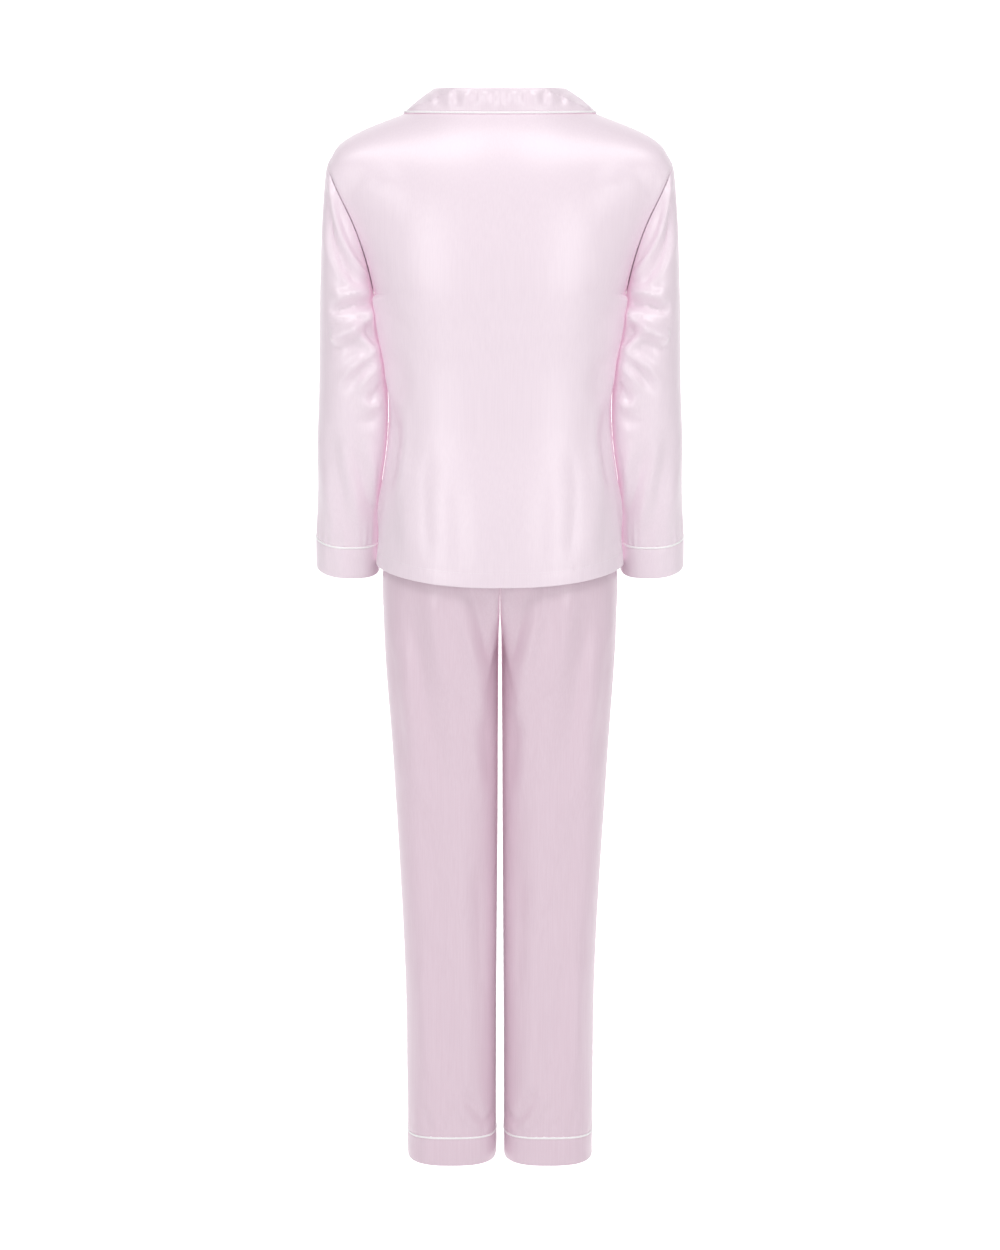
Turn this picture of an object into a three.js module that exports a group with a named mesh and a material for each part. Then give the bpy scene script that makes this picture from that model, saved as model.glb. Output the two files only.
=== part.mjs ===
// A two-piece satin pyjama set, shown worn with no wearer in it: a long-sleeved shirt with a
// turned-down collar, and straight trousers with an elastic waist inside the shirt.
// Millimetres, +Z up. The wearer faces +Y, so -Y is the back and -X the wearer's left.
// Z = 0 is where the shoulder seams meet the neck.
import * as THREE from 'three';

// Cloth
const CLOTH = 1.5; // wall of one layer of cloth
const BAND = 2.4; // wall of a doubled band: cuffs, hem bands
const ELASTIC = 3; // wall of the waistband, with its elastic
const SEAM_GAP = 0.3; // between pieces that are sewn together
const PIPING = 1.5; // radius of the piping cord
const PIPING_SIDES = 6;
const PIPING_PROUD = 0.9; // how far the cord's middle lies inside the cloth's outer face

// Shirt heights
const ARMPIT_Z = -250;
const HEM_SIDE_Z = -613; // hem at the side seams
const HEM_BACK_DROP = 17; // the hem is this much lower at centre back
const HEM_FRONT_DROP = 12;
const SQUARENESS = 2.5; // exponent of the shirt's and seat's superelliptic sections

// Shirt sections below the shoulders: half width, and depth behind and before the side seams
const SHIRT_SECTIONS = [
  { z: -640, side: 168, back: 128, front: 119 },
  { z: -613, side: 167, back: 127, front: 119 },
  { z: -560, side: 162.5, back: 123, front: 118 },
  { z: -517, side: 158.5, back: 117, front: 116 },
  { z: -480, side: 154, back: 109, front: 113 },
  { z: -452, side: 151, back: 104, front: 112 },
  { z: -420, side: 149, back: 102, front: 113 },
  { z: -350, side: 151.5, back: 103, front: 119 },
  { z: -300, side: 160, back: 107, front: 124 },
  { z: -250, side: 168, back: 111, front: 125 },
  { z: -200, side: 182, back: 113, front: 120 },
];

// Shoulders and neck. A column of the shirt is numbered from 0 at the middle to 1 at the side.
const NECK_COLUMN = 0.42; // the column that ends at the neck point
const TIP_COLUMN = 0.86; // the column that ends at the shoulder tip
const CROWN = [
  { column: -0.21, x: -41, y: 6, z: 22 },
  { column: 0, x: 0, y: 6, z: 30 },
  { column: 0.21, x: 41, y: 6, z: 22 },
  { column: 0.42, x: 82, y: 6, z: 4 },
  { column: 0.54, x: 124, y: 6, z: -13 },
  { column: 0.7, x: 184, y: 4, z: -37 },
  { column: 0.79, x: 213, y: 3, z: -55 },
  { column: 0.86, x: 229, y: 2, z: -80 },
];
const NECK_DEPTH = 56; // how far the back neckline lies behind the shoulder seams
const RISE_PULL = 350; // how stiffly the cloth rises from the armpit level
const SHOULDER_PULL = 230; // and how it rolls over the shoulder
const ARMHOLE = [
  { rise: 0, column: 1 },
  { rise: 0.05, column: 0.9 },
  { rise: 0.14, column: 0.83 },
  { rise: 0.28, column: 0.81 },
  { rise: 0.45, column: 0.83 },
  { rise: 0.65, column: 0.86 },
  { rise: 0.85, column: 0.868 },
  { rise: 1, column: 0.86 },
];

// Front opening, lapels and collar
const OVERLAP = 15; // each front passes the middle by this much
const LAP_RISE = 2.5; // the upper front lies this far out over the lower one
const LAP_FADE = 40; // and comes back to the body over this width
const BREAK_Z = -165; // the roll line of each lapel begins here and ends at the neck point
const GORGE_Z = -47; // and meets the seam between collar and lapel here
const LAPEL_TIP = { x: 116, z: -92 };
const LAPEL_BOTTOM = { left: -134, right: -160 }; // the left one tucks in under the right front
const LAPEL_START = 5; // the lapel's width where it begins
const LAPEL_BELLY = 5; // how far its edge bows out
const LAPEL_LIFT = 3; // its outer face over the front
const LAPEL_PUFF = 2.2; // more than that at its middle
const NOTCH = 0.53; // share of the lapel's upper edge that is sewn to the collar
const COLLAR_TIP = { x: 119, z: -60 };
const COLLAR_EDGE_Z = -13.5; // the collar's outer edge across the back
const COLLAR_SHOULDER = 0.542; // the column at which it crosses the shoulder seam
const COLLAR_BELLY = 4; // how far its edge bows out between shoulder and tip
const COLLAR_LIFT = 3.3; // its outer face over the shirt, at the edge
const COLLAR_BACK_SHARE = 0.55; // this share of the collar's half goes round the back neck
const COLLAR_HEIGHTS = [
  { share: 0, high: 22.5 },
  { share: 0.3, high: 20.5 },
  { share: 0.55, high: 15 },
  { share: 0.75, high: 9 },
  { share: 1, high: 5.5 },
];
const COLLAR_SHARES = [
  0, 0.1, 0.2, 0.29, 0.37, 0.43, 0.48, 0.52, 0.549, 0.58, 0.62, 0.68, 0.76, 0.84, 0.92, 1,
];
const ROLL_RADIUS = 2.6; // of the collar's fold
const FALL_PUFF = 1.5; // how far the fall bows out between its fold and its edge
const PIPING_FROM_NOTCH = 0.3; // share of the notch's edges that stays without piping

// Sleeves: sections as half widths about a centre line, which comes forward at the forearm
const SLEEVE_TOP_Z = -300;
const SLEEVE_SEAM_Z = -582; // the piped seam between sleeve and cuff
const CUFF_HEM_Z = -624;
const CUFF_TILT = 0.185; // slope of the cuff, lower at the back
const SLEEVE_SECTIONS = [
  { z: -630, centre: 208, fore: 50, wide: 43.5, deep: 43 },
  { z: -582, centre: 207.6, fore: 42, wide: 43.5, deep: 43 },
  { z: -540, centre: 205.4, fore: 32, wide: 43.3, deep: 45.5 },
  { z: -500, centre: 203.2, fore: 21, wide: 44, deep: 48 },
  { z: -450, centre: 199.4, fore: 10, wide: 46.4, deep: 51 },
  { z: -400, centre: 197.4, fore: 4, wide: 46.8, deep: 55 },
  { z: -350, centre: 198, fore: 1, wide: 44.6, deep: 59 },
  { z: -300, centre: 202, fore: 0, wide: 39.4, deep: 61 },
  { z: -270, centre: 204, fore: 0, wide: 37, deep: 61 },
];
const SLEEVE_LEAVE = { armpit: 34, face: 70, tip: 120 }; // pull out of the armhole
const SLEEVE_SPREAD = { armpit: 0.22, face: 0.75, tip: 0.22 }; // its outward part
const SLEEVE_ARRIVE = 110;

// Trousers
const WAIST_TOP_Z = -412;
const WAIST_SEAM_Z = -447;
const SEAT_Z = -597; // the seat seam begins to turn under here
const CROTCH_Z = -697;
const SEAT_BLEND = 120; // away from the seat seam, leg turns into seat from this far below it
const LEG_SEAM_Z = -1408; // the piped seam over the hem band, at the side seams
const LEG_SEAM_RISE = 7; // it is this much higher at the middle of the leg's back and front
const LEG_HEM_Z = -1444;
const LEG_SQUARENESS = 2.15;
const HIP_SECTIONS = [
  { z: -697, side: 157.6, back: 108, front: 94 },
  { z: -640, side: 159.5, back: 115, front: 99 },
  { z: -580, side: 153, back: 112, front: 100 },
  { z: -520, side: 139, back: 101, front: 97 },
  { z: -447, side: 121, back: 84, front: 88 },
  { z: -412, side: 118, back: 82, front: 86 },
];
const LEG_SECTIONS = [
  { z: -1450, inner: 5.6, outer: 128.2, deep: 65, fore: -2 },
  { z: -1320, inner: 5.4, outer: 129.2, deep: 67, fore: -2 },
  { z: -1218, inner: 5.2, outer: 130.2, deep: 68, fore: -1 },
  { z: -1129, inner: 4.8, outer: 133.2, deep: 70, fore: 0 },
  { z: -1010, inner: 4, outer: 139.2, deep: 74, fore: 0 },
  { z: -930, inner: 3.3, outer: 143.6, deep: 78, fore: -1 },
  { z: -862, inner: 2.8, outer: 147.4, deep: 82, fore: -3 },
  { z: -795, inner: 2.2, outer: 152, deep: 87, fore: -5 },
  { z: -729, inner: 1.7, outer: 155.8, deep: 92, fore: -7 },
  { z: -697, inner: 1.4, outer: 157.6, deep: 95, fore: -8 },
];

// Buttons down the centre front
const BUTTON_HEIGHTS = [-188, -286, -384, -482, -572];
const BUTTON_RADIUS = 5.75;
const BUTTON_THICK = 2.6;
const BUTTON_SIDES = 14;

// Largest soft folds, as lines across the front view. side is -1 for the back and 1 for the
// front, and each is mirrored. deep is how far the cloth sinks (or, below 0, stands out).
const SLEEVE_FOLDS = [
  { side: -1, x1: 236, z1: -232, x2: 188, z2: -272, width: 20, deep: 3.5 },
  { side: -1, x1: 222, z1: -292, x2: 186, z2: -272, width: 18, deep: -3 },
  { side: -1, x1: 226, z1: -326, x2: 172, z2: -338, width: 20, deep: 4 },
  { side: -1, x1: 212, z1: -392, x2: 168, z2: -372, width: 20, deep: 3 },
  { side: 1, x1: 230, z1: -306, x2: 180, z2: -334, width: 20, deep: 3.5 },
  { side: 1, x1: 226, z1: -384, x2: 172, z2: -378, width: 20, deep: 3.5 },
];
const LEG_FOLDS = [
  { side: -1, x1: 112, z1: -640, x2: 96, z2: -1010, width: 18, deep: 4 },
  { side: -1, x1: 42, z1: -640, x2: 8, z2: -716, width: 18, deep: 4 },
  { side: -1, x1: 64, z1: -1320, x2: 30, z2: -1396, width: 12, deep: -3.5 },
  { side: 1, x1: 30, z1: -560, x2: 8, z2: -690, width: 18, deep: 4 },
  { side: 1, x1: 92, z1: -660, x2: 80, z2: -980, width: 18, deep: 3.5 },
];

// Mesh density
const UPPER_ROWS = 11;
const LOWER_ROWS = 9;
const NECK_COLUMNS = 4;
const SHOULDER_COLUMNS = 6;
const SLEEVE_CAP_ROWS = 5;
const SLEEVE_ROWS = 12;
const BAND_ROWS = 2;
const SEAT_ROWS = 3;
const CROTCH_ROWS = 7;
const LEG_ROWS = 9;
const PANEL_COLUMNS = 9;
const LAPEL_ROWS = 7;
const LAPEL_COLUMNS = 4;
const ROLL_STEPS = 4;
const CORNER_STEPS = 3;
const FALL_STEPS = 4;

const satin = (name, color) =>
  new THREE.MeshStandardMaterial({ name, color, roughness: 0.38, metalness: 0 });
const SHIRT_SATIN = satin('shirt satin', 0xf1e5ee);
const TROUSER_SATIN = satin('trouser satin', 0xe6d0de);
const PIPING_SATIN = satin('piping satin', 0xffffff);
const BUTTON_PLASTIC = new THREE.MeshStandardMaterial({
  name: 'button', color: 0xf6f0f3, roughness: 0.25, metalness: 0,
});

const vector = (x, y, z) => new THREE.Vector3(x, y, z);
const mix = THREE.MathUtils.lerp;
const clamp = THREE.MathUtils.clamp;
const smooth = (value, low, high) => {
  const share = clamp((value - low) / (high - low), 0, 1);
  return share * share * (3 - 2 * share);
};
const power = (value, exponent) => Math.sign(value) * Math.abs(value) ** exponent;
const towards = (from, to) => to.clone().sub(from).normalize();

// Smooth value of a table's column at one height or share. Rows may rise or fall in key.
function sample(table, key, column, at) {
  const rows = table[0][key] < table.at(-1)[key] ? table : [...table].reverse();
  const last = rows.length - 1;
  let i = 0;
  while (i < last - 1 && at > rows[i + 1][key]) i += 1;
  const slope = (k) => {
    const low = rows[Math.max(k - 1, 0)];
    const high = rows[Math.min(k + 1, last)];
    return (high[column] - low[column]) / (high[key] - low[key]);
  };
  const span = rows[i + 1][key] - rows[i][key];
  const t = (at - rows[i][key]) / span;
  return hermite(rows[i][column], slope(i) * span, rows[i + 1][column], slope(i + 1) * span, t);
}

// Cubic from one value to another, leaving and arriving with the given pulls
function hermite(from, leave, to, arrive, t) {
  const t2 = t * t;
  const t3 = t2 * t;
  return from * (2 * t3 - 3 * t2 + 1) + leave * (t3 - 2 * t2 + t)
    + to * (3 * t2 - 2 * t3) + arrive * (t3 - t2);
}

function hermiteVector(from, leave, to, arrive, t) {
  const value = (axis) => hermite(from[axis], leave[axis], to[axis], arrive[axis], t);
  return vector(value('x'), value('y'), value('z'));
}

// How far folds push a point of a sleeve or leg in, along its outward normal
function foldDepth(folds, point, out) {
  let depth = 0;
  for (const fold of folds) {
    const along = { x: fold.x2 - fold.x1, z: fold.z2 - fold.z1 };
    const from = { x: Math.abs(point.x) - fold.x1, z: point.z - fold.z1 };
    const length = Math.hypot(along.x, along.z);
    const share = clamp((from.x * along.x + from.z * along.z) / length ** 2, 0, 1);
    const away = Math.hypot(from.x - share * along.x, from.z - share * along.z);
    const facing = smooth(fold.side * out.y, 0, 0.6);
    depth += fold.deep * facing * Math.exp(-((away / fold.width) ** 2));
  }
  return depth;
}

// The outward normal of a surface where its two numbers are a and b. flip turns it round.
function normalOf(surface, a, b, flip = 1, step = 0.002) {
  const alongA = surface(a + step, b).sub(surface(a - step, b));
  const alongB = surface(a, b + step).sub(surface(a, b - step));
  return alongA.cross(alongB).normalize().multiplyScalar(flip);
}

// A closed wall of cloth. skin[i][j] holds a point of the outer face, and its outward normal.
function wall(skin, thickness, { closed = false, gap = SEAM_GAP } = {}) {
  const columns = skin.length;
  const rows = skin[0].length;
  const outer = skin.map((line) => line.map(({ at }) => at.clone()));
  const draw = (point, next) => point.addScaledVector(towards(point, next), gap / 2);
  for (let i = 0; i < columns; i += 1) {
    draw(outer[i][0], outer[i][1]);
    draw(outer[i][rows - 1], outer[i][rows - 2]);
  }
  for (let j = 0; j < rows && !closed; j += 1) {
    draw(outer[0][j], outer[1][j]);
    draw(outer[columns - 1][j], outer[columns - 2][j]);
  }
  const positions = [];
  outer.forEach((line) => line.forEach((at) => positions.push(at.x, at.y, at.z)));
  outer.forEach((line, i) => line.forEach((at, j) => {
    const inner = at.clone().addScaledVector(skin[i][j].out, -thickness);
    positions.push(inner.x, inner.y, inner.z);
  }));
  const count = columns * rows;
  const id = (i, j, side) => side * count + (i % columns) * rows + j;
  const index = [];
  const span = (a, b) => outer[Math.floor((a % count) / rows)][a % rows]
    .distanceTo(outer[Math.floor((b % count) / rows)][b % rows]);
  const quad = (a, b, c, d) => {
    if (span(a, c) <= span(b, d)) index.push(a, b, c, a, c, d);
    else index.push(a, b, d, b, c, d);
  };
  for (let i = 0; i < columns - (closed ? 0 : 1); i += 1) {
    for (let j = 0; j < rows - 1; j += 1) {
      quad(id(i, j, 0), id(i + 1, j, 0), id(i + 1, j + 1, 0), id(i, j + 1, 0));
      quad(id(i, j, 1), id(i, j + 1, 1), id(i + 1, j + 1, 1), id(i + 1, j, 1));
    }
    quad(id(i, 0, 0), id(i, 0, 1), id(i + 1, 0, 1), id(i + 1, 0, 0));
    quad(id(i, rows - 1, 0), id(i + 1, rows - 1, 0), id(i + 1, rows - 1, 1), id(i, rows - 1, 1));
  }
  for (let j = 0; j < rows - 1 && !closed; j += 1) {
    const end = columns - 1;
    quad(id(0, j, 0), id(0, j + 1, 0), id(0, j + 1, 1), id(0, j, 1));
    quad(id(end, j, 0), id(end, j, 1), id(end, j + 1, 1), id(end, j + 1, 0));
  }
  return facingOut(positions, index);
}

// A round cord along points, each with a direction that its section starts from
function cord(path, { closed = false } = {}) {
  const positions = [];
  const last = path.length - 1;
  path.forEach(({ at, out }, i) => {
    const before = path[i > 0 ? i - 1 : (closed ? last : 0)].at;
    const after = path[i < last ? i + 1 : (closed ? 0 : last)].at;
    const along = towards(before, after);
    const across = along.clone().cross(out).normalize();
    const up = across.clone().cross(along);
    for (let k = 0; k < PIPING_SIDES; k += 1) {
      const turn = (k / PIPING_SIDES) * 2 * Math.PI;
      const point = at.clone()
        .addScaledVector(up, PIPING * Math.cos(turn))
        .addScaledVector(across, PIPING * Math.sin(turn));
      positions.push(point.x, point.y, point.z);
    }
  });
  const index = [];
  const id = (i, k) => (i % path.length) * PIPING_SIDES + (k % PIPING_SIDES);
  for (let i = 0; i < (closed ? path.length : last); i += 1) {
    for (let k = 0; k < PIPING_SIDES; k += 1) {
      index.push(id(i, k), id(i + 1, k), id(i + 1, k + 1));
      index.push(id(i, k), id(i + 1, k + 1), id(i, k + 1));
    }
  }
  for (let k = 1; k < PIPING_SIDES - 1 && !closed; k += 1) {
    index.push(id(0, 0), id(0, k), id(0, k + 1));
    index.push(id(last, 0), id(last, k + 1), id(last, k));
  }
  return facingOut(positions, index);
}

// The geometry of a closed surface, turned so that its faces point out
function facingOut(positions, index) {
  const corner = (k) => vector(...positions.slice(3 * index[k], 3 * index[k] + 3));
  let volume = 0;
  for (let k = 0; k < index.length; k += 3) {
    volume += corner(k).dot(corner(k + 1).cross(corner(k + 2)));
  }
  const turned = volume > 0 ? index : index.map((_, k) => index[k - (k % 3) + 2 - (k % 3)]);
  const geometry = new THREE.BufferGeometry();
  geometry.setAttribute('position', new THREE.Float32BufferAttribute(positions, 3));
  geometry.setIndex(turned);
  geometry.computeVertexNormals();
  return geometry;
}

const set = new THREE.Group();
set.name = 'pyjama_set';

function sew(name, geometry, material) {
  const mesh = new THREE.Mesh(geometry, material);
  mesh.name = name;
  set.add(mesh);
  return mesh;
}

// One section of the shirt. u is 0 at centre back, 1 at a side seam and 2 at centre front,
// and below 0 on the wearer's left.
function superellipse(side, back, front, u, exponent) {
  const across = Math.sin(u * Math.PI / 2);
  const deep = Math.cos(u * Math.PI / 2);
  const round = 2 / exponent;
  return { x: side * power(across, round), y: -(deep > 0 ? back : front) * power(deep, round) };
}

function shirtSection(z, u) {
  const size = (column) => sample(SHIRT_SECTIONS, 'z', column, z);
  const { x, y } = superellipse(size('side'), size('back'), size('front'), u, SQUARENESS);
  return vector(x, y, z);
}

const hemLine = (u) => {
  const deep = Math.cos(u * Math.PI / 2);
  return HEM_SIDE_Z - (deep > 0 ? HEM_BACK_DROP : HEM_FRONT_DROP) * deep ** 2;
};

const columnOf = (u) => (Math.abs(u) <= 1 ? Math.abs(u) : 2 - Math.abs(u));

// The line the shirt's columns rise to: over the shoulders along their seams, and bridging
// the neck between them
function crown(u) {
  const column = Math.min(columnOf(u), TIP_COLUMN);
  const seam = (axis) => sample(CROWN, 'column', axis, column);
  return vector((Math.sign(u) || 1) * seam('x'), seam('y'), seam('z'));
}

// How the cloth arrives at that line
function crownPull(u) {
  const over = Math.abs(u) <= 1 ? SHOULDER_PULL : -SHOULDER_PULL;
  const turn = (Math.max(columnOf(u) - TIP_COLUMN, 0) / (1 - TIP_COLUMN)) * (Math.PI / 2);
  return vector(0, over * Math.cos(turn), SHOULDER_PULL * Math.sin(turn));
}

// The shirt's outer face. level is 0 at the hem, 1 at the armpits and 2 at the crown line.
function shirt(u, level) {
  if (level <= 1) return shirtSection(mix(hemLine(u), ARMPIT_Z, level), u);
  const step = 1;
  const rise = shirtSection(ARMPIT_Z, u).sub(shirtSection(ARMPIT_Z - step, u));
  return hermiteVector(
    shirtSection(ARMPIT_Z, u), rise.multiplyScalar(RISE_PULL / step),
    crown(u), crownPull(u), level - 1,
  );
}

// Halves a range until test changes there. test is true at the low end.
function search(low, high, test) {
  let [from, to] = [low, high];
  for (let k = 0; k < 26; k += 1) {
    const middle = (from + to) / 2;
    if (test(middle)) from = middle;
    else to = middle;
  }
  return from;
}

// A place on the shirt: side is -1 for the wearer's left, front is true or false, and column
// counts from the middle. The outer front is raised where it laps over the other.
function shirtPlace(side, front, column, level, lift = 0) {
  const u = side * (front ? 2 - column : column);
  const at = shirt(u, level);
  const out = normalOf(shirt, u, Math.min(level, 1.997));
  const lapped = front && side > 0 ? LAP_RISE * (1 - smooth(at.x, LAP_FADE / 2, LAP_FADE)) : 0;
  return { at: at.addScaledVector(out, lift + lapped), out };
}

// The place on the front or back that lies at x from the middle and at height z, seen from
// straight before or behind
function facePlace(side, front, x, z, lift) {
  const face = (column, level) => shirt(front ? 2 - column : column, level);
  let column = (NECK_COLUMN * x) / CROWN[3].x;
  let level = 1.7;
  const step = 0.001;
  for (let k = 0; k < 14; k += 1) {
    const at = face(column, level);
    const a = face(column + step, level).sub(at).divideScalar(step);
    const b = face(column, level + step).sub(at).divideScalar(step);
    const det = a.x * b.z - a.z * b.x;
    const moveX = x - at.x;
    const moveZ = z - at.z;
    column += clamp((moveX * b.z - moveZ * b.x) / det, -0.1, 0.1);
    level = Math.min(level + clamp((moveZ * a.x - moveX * a.z) / det, -0.1, 0.1), 1.996);
  }
  return shirtPlace(side, front, column, level, lift);
}

const armholeColumn = (level) => (level <= 1 ? 1 : sample(ARMHOLE, 'rise', 'column', level - 1));

// Levels of the shirt's rows, closer together in the lower armhole
const LEVELS = [
  ...Array.from({ length: LOWER_ROWS }, (_, j) => j / LOWER_ROWS),
  ...Array.from({ length: UPPER_ROWS + 1 }, (_, j) => 1 + (j / UPPER_ROWS) ** 1.25),
];

// Level at which a column of the back ends: at the neckline, or else at the shoulder seam
function backTop(column) {
  const from = Math.min(Math.abs(column) / NECK_COLUMN, 1);
  const y = CROWN[3].y - NECK_DEPTH * Math.sqrt(1 - from * from);
  return from === 1 ? 2 : search(1, 2, (level) => shirt(column, level).y < y);
}

function shirtBack() {
  const skin = [];
  for (let i = -NECK_COLUMNS - SHOULDER_COLUMNS; i <= NECK_COLUMNS + SHOULDER_COLUMNS; i += 1) {
    const inner = NECK_COLUMN * Math.sin((Math.min(Math.abs(i) / NECK_COLUMNS, 1) * Math.PI) / 2);
    const beyond = Math.max(Math.abs(i) - NECK_COLUMNS, 0) / SHOULDER_COLUMNS;
    const top = backTop(inner);
    skin.push(LEVELS.map((level) => {
      const column = mix(inner, armholeColumn(level), beyond);
      const at = level > 1 ? 1 + (level - 1) * (top - 1) : level;
      return shirtPlace(i < 0 ? -1 : 1, false, column, beyond > 0 ? level : at);
    }));
  }
  return wall(skin, CLOTH);
}

// Column of a front's free edge: past the middle below the break, then along the roll line
function frontEdge(level) {
  const z = shirt(2, level).z;
  const past = search(0, -0.3, (column) => shirt(2 - column, level).x > -OVERLAP);
  if (z <= BREAK_Z) return past;
  return search(past, NECK_COLUMN, (column) => {
    const at = shirt(2 - column, level);
    const share = (at.z - BREAK_Z) / (CROWN[3].z - BREAK_Z);
    return at.x < mix(-OVERLAP, CROWN[3].x, share);
  });
}

function shirtFront(side) {
  const skin = Array.from({ length: SHOULDER_COLUMNS + 2 }, () => []);
  for (const level of LEVELS) {
    const edge = frontEdge(level);
    const lap = edge - 2.2 * frontEdge(0);
    skin[0].push(shirtPlace(side, true, edge, level));
    for (let i = 0; i <= SHOULDER_COLUMNS; i += 1) {
      const column = mix(lap, armholeColumn(level), i / SHOULDER_COLUMNS);
      skin[i + 1].push(shirtPlace(side, true, column, level));
    }
  }
  return wall(skin, CLOTH);
}

// A point of the roll line at height z, as seen from the front
const rollPoint = (z) => ({
  x: mix(-OVERLAP, CROWN[3].x, (z - BREAK_Z) / (CROWN[3].z - BREAK_Z)), z,
});

// The lapel, turned back over the front. along is 0 at its bottom and 1 at the gorge, and
// across is 0 at the fold and 1 at the free edge.
function lapelPlace(side, along, across) {
  const bottom = rollPoint(side < 0 ? LAPEL_BOTTOM.left : LAPEL_BOTTOM.right);
  const fold = rollPoint(mix(bottom.z, GORGE_Z, along));
  const belly = LAPEL_BELLY * Math.sin(along * Math.PI);
  const edge = {
    x: mix(bottom.x + LAPEL_START, LAPEL_TIP.x, along) + 0.6 * belly,
    z: mix(bottom.z - 1, LAPEL_TIP.z, along) - 0.8 * belly,
  };
  const puff = LAPEL_PUFF * Math.sin(across * Math.PI) * smooth(along, 0, 0.4);
  return facePlace(
    side, true, mix(fold.x, edge.x, across), mix(fold.z, edge.z, across), LAPEL_LIFT + puff,
  );
}

function lapel(side) {
  const skin = [];
  for (let i = 0; i <= LAPEL_COLUMNS; i += 1) {
    const line = [];
    for (let j = 0; j <= LAPEL_ROWS; j += 1) {
      line.push(lapelPlace(side, j / LAPEL_ROWS, i / LAPEL_COLUMNS));
    }
    skin.push(line);
  }
  return wall(skin, CLOTH);
}

// Root (on the neck seam or roll line) and edge of the collar. share is 0 at centre back and
// 1 at the notch.
function collarEnds(side, share) {
  if (share <= COLLAR_BACK_SHARE) {
    const round = share / COLLAR_BACK_SHARE;
    const root = NECK_COLUMN * round;
    const column = COLLAR_SHOULDER * round;
    const level = search(1.5, 2, (value) => shirt(column, value).z < COLLAR_EDGE_Z);
    return {
      root: shirtPlace(side, false, root, backTop(root)),
      edge: shirtPlace(side, false, column, level, COLLAR_LIFT),
    };
  }
  const down = (share - COLLAR_BACK_SHARE) / (1 - COLLAR_BACK_SHARE);
  const root = rollPoint(mix(CROWN[3].z, GORGE_Z, down));
  const shoulder = crown(COLLAR_SHOULDER);
  const belly = COLLAR_BELLY * Math.sin(down * Math.PI);
  return {
    root: facePlace(side, true, root.x, root.z, 0),
    edge: facePlace(
      side, true, mix(shoulder.x, COLLAR_TIP.x, down) + belly,
      mix(shoulder.z, COLLAR_TIP.z, down), COLLAR_LIFT,
    ),
  };
}

// One cross-section of the collar, from its root up the stand, over the fold and down the fall
function collarSection(side, share) {
  const { root, edge } = collarEnds(side, share);
  const down = clamp((share - COLLAR_BACK_SHARE) / (1 - COLLAR_BACK_SHARE), 0, 1);
  const up = root.out.clone().lerp(vector(0, 0, 1), mix(0.8, 0.3, down)).normalize();
  const over = edge.at.clone().sub(root.at);
  over.addScaledVector(up, -over.dot(up)).normalize();
  const high = sample(COLLAR_HEIGHTS, 'share', 'high', share);
  const middle = root.at.clone()
    .addScaledVector(up, high - ROLL_RADIUS)
    .addScaledVector(over, ROLL_RADIUS + high * 0.1);
  const line = [{ at: root.at.clone().addScaledVector(up, 0.6), out: over.clone().negate() }];
  for (let k = 0; k <= ROLL_STEPS; k += 1) {
    const turn = (k / ROLL_STEPS) * 0.72 * Math.PI;
    const out = over.clone().multiplyScalar(-Math.cos(turn)).addScaledVector(up, Math.sin(turn));
    line.push({ at: middle.clone().addScaledVector(out, ROLL_RADIUS), out });
  }
  const from = line.at(-1);
  const gorge = rollPoint(GORGE_Z);
  const notch = {
    x: mix(gorge.x, LAPEL_TIP.x, NOTCH), z: mix(gorge.z, LAPEL_TIP.z, NOTCH),
  };
  for (let k = 1; k <= FALL_STEPS; k += 1) {
    const part = k / FALL_STEPS;
    const out = from.out.clone().lerp(edge.out, part).normalize();
    const at = from.at.clone().lerp(edge.at, part)
      .addScaledVector(out, FALL_PUFF * Math.sin(part * Math.PI));
    const bend = (1 - Math.abs(2 * part - 1)) * smooth(down, 0.2, 1);
    at.x += side * bend * (notch.x - (gorge.x + COLLAR_TIP.x) / 2);
    at.z += bend * (notch.z - (gorge.z + COLLAR_TIP.z) / 2);
    line.push(k < FALL_STEPS ? drape(side, down > 0, { at, out }) : { at, out });
  }
  return line;
}

// Keeps a point of the collar's fall out over the shirt
function drape(side, front, { at, out }) {
  const base = facePlace(side, front, side * at.x, at.z, COLLAR_LIFT);
  const short = -at.clone().sub(base.at).dot(base.out);
  if (short < 0) return { at, out };
  return { at: at.addScaledVector(base.out, short), out: base.out };
}

const collarGrid = [
  ...COLLAR_SHARES.slice(1).reverse().map((share) => collarSection(-1, share)),
  ...COLLAR_SHARES.map((share) => collarSection(1, share)),
];

const collar = () => wall(collarGrid, CLOTH);

// The cord's middle beside a point of a free edge of cloth, where before lies inside the edge
function besideEdge({ at, out }, before) {
  const off = towards(before.at, at);
  return { at, off: off.addScaledVector(out, -off.dot(out)).normalize(), out };
}

// A cord along free edges, rounding the corners between them
function edgeCord(edges) {
  const path = [];
  edges.forEach((edge, i) => {
    edge.forEach((place) => path.push(place));
    const next = edges[i + 1]?.[0];
    const last = edge.at(-1);
    for (let k = 1; next && k < CORNER_STEPS; k += 1) {
      const off = last.off.clone().lerp(next.off, k / CORNER_STEPS).normalize();
      path.push({ at: last.at, off, out: last.out });
    }
  });
  return cord(path.map(({ at, off, out }) => ({
    at: at.clone()
      .addScaledVector(off, PIPING + SEAM_GAP)
      .addScaledVector(out, -CLOTH / 2 + 0.5),
    out,
  })));
}

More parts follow.
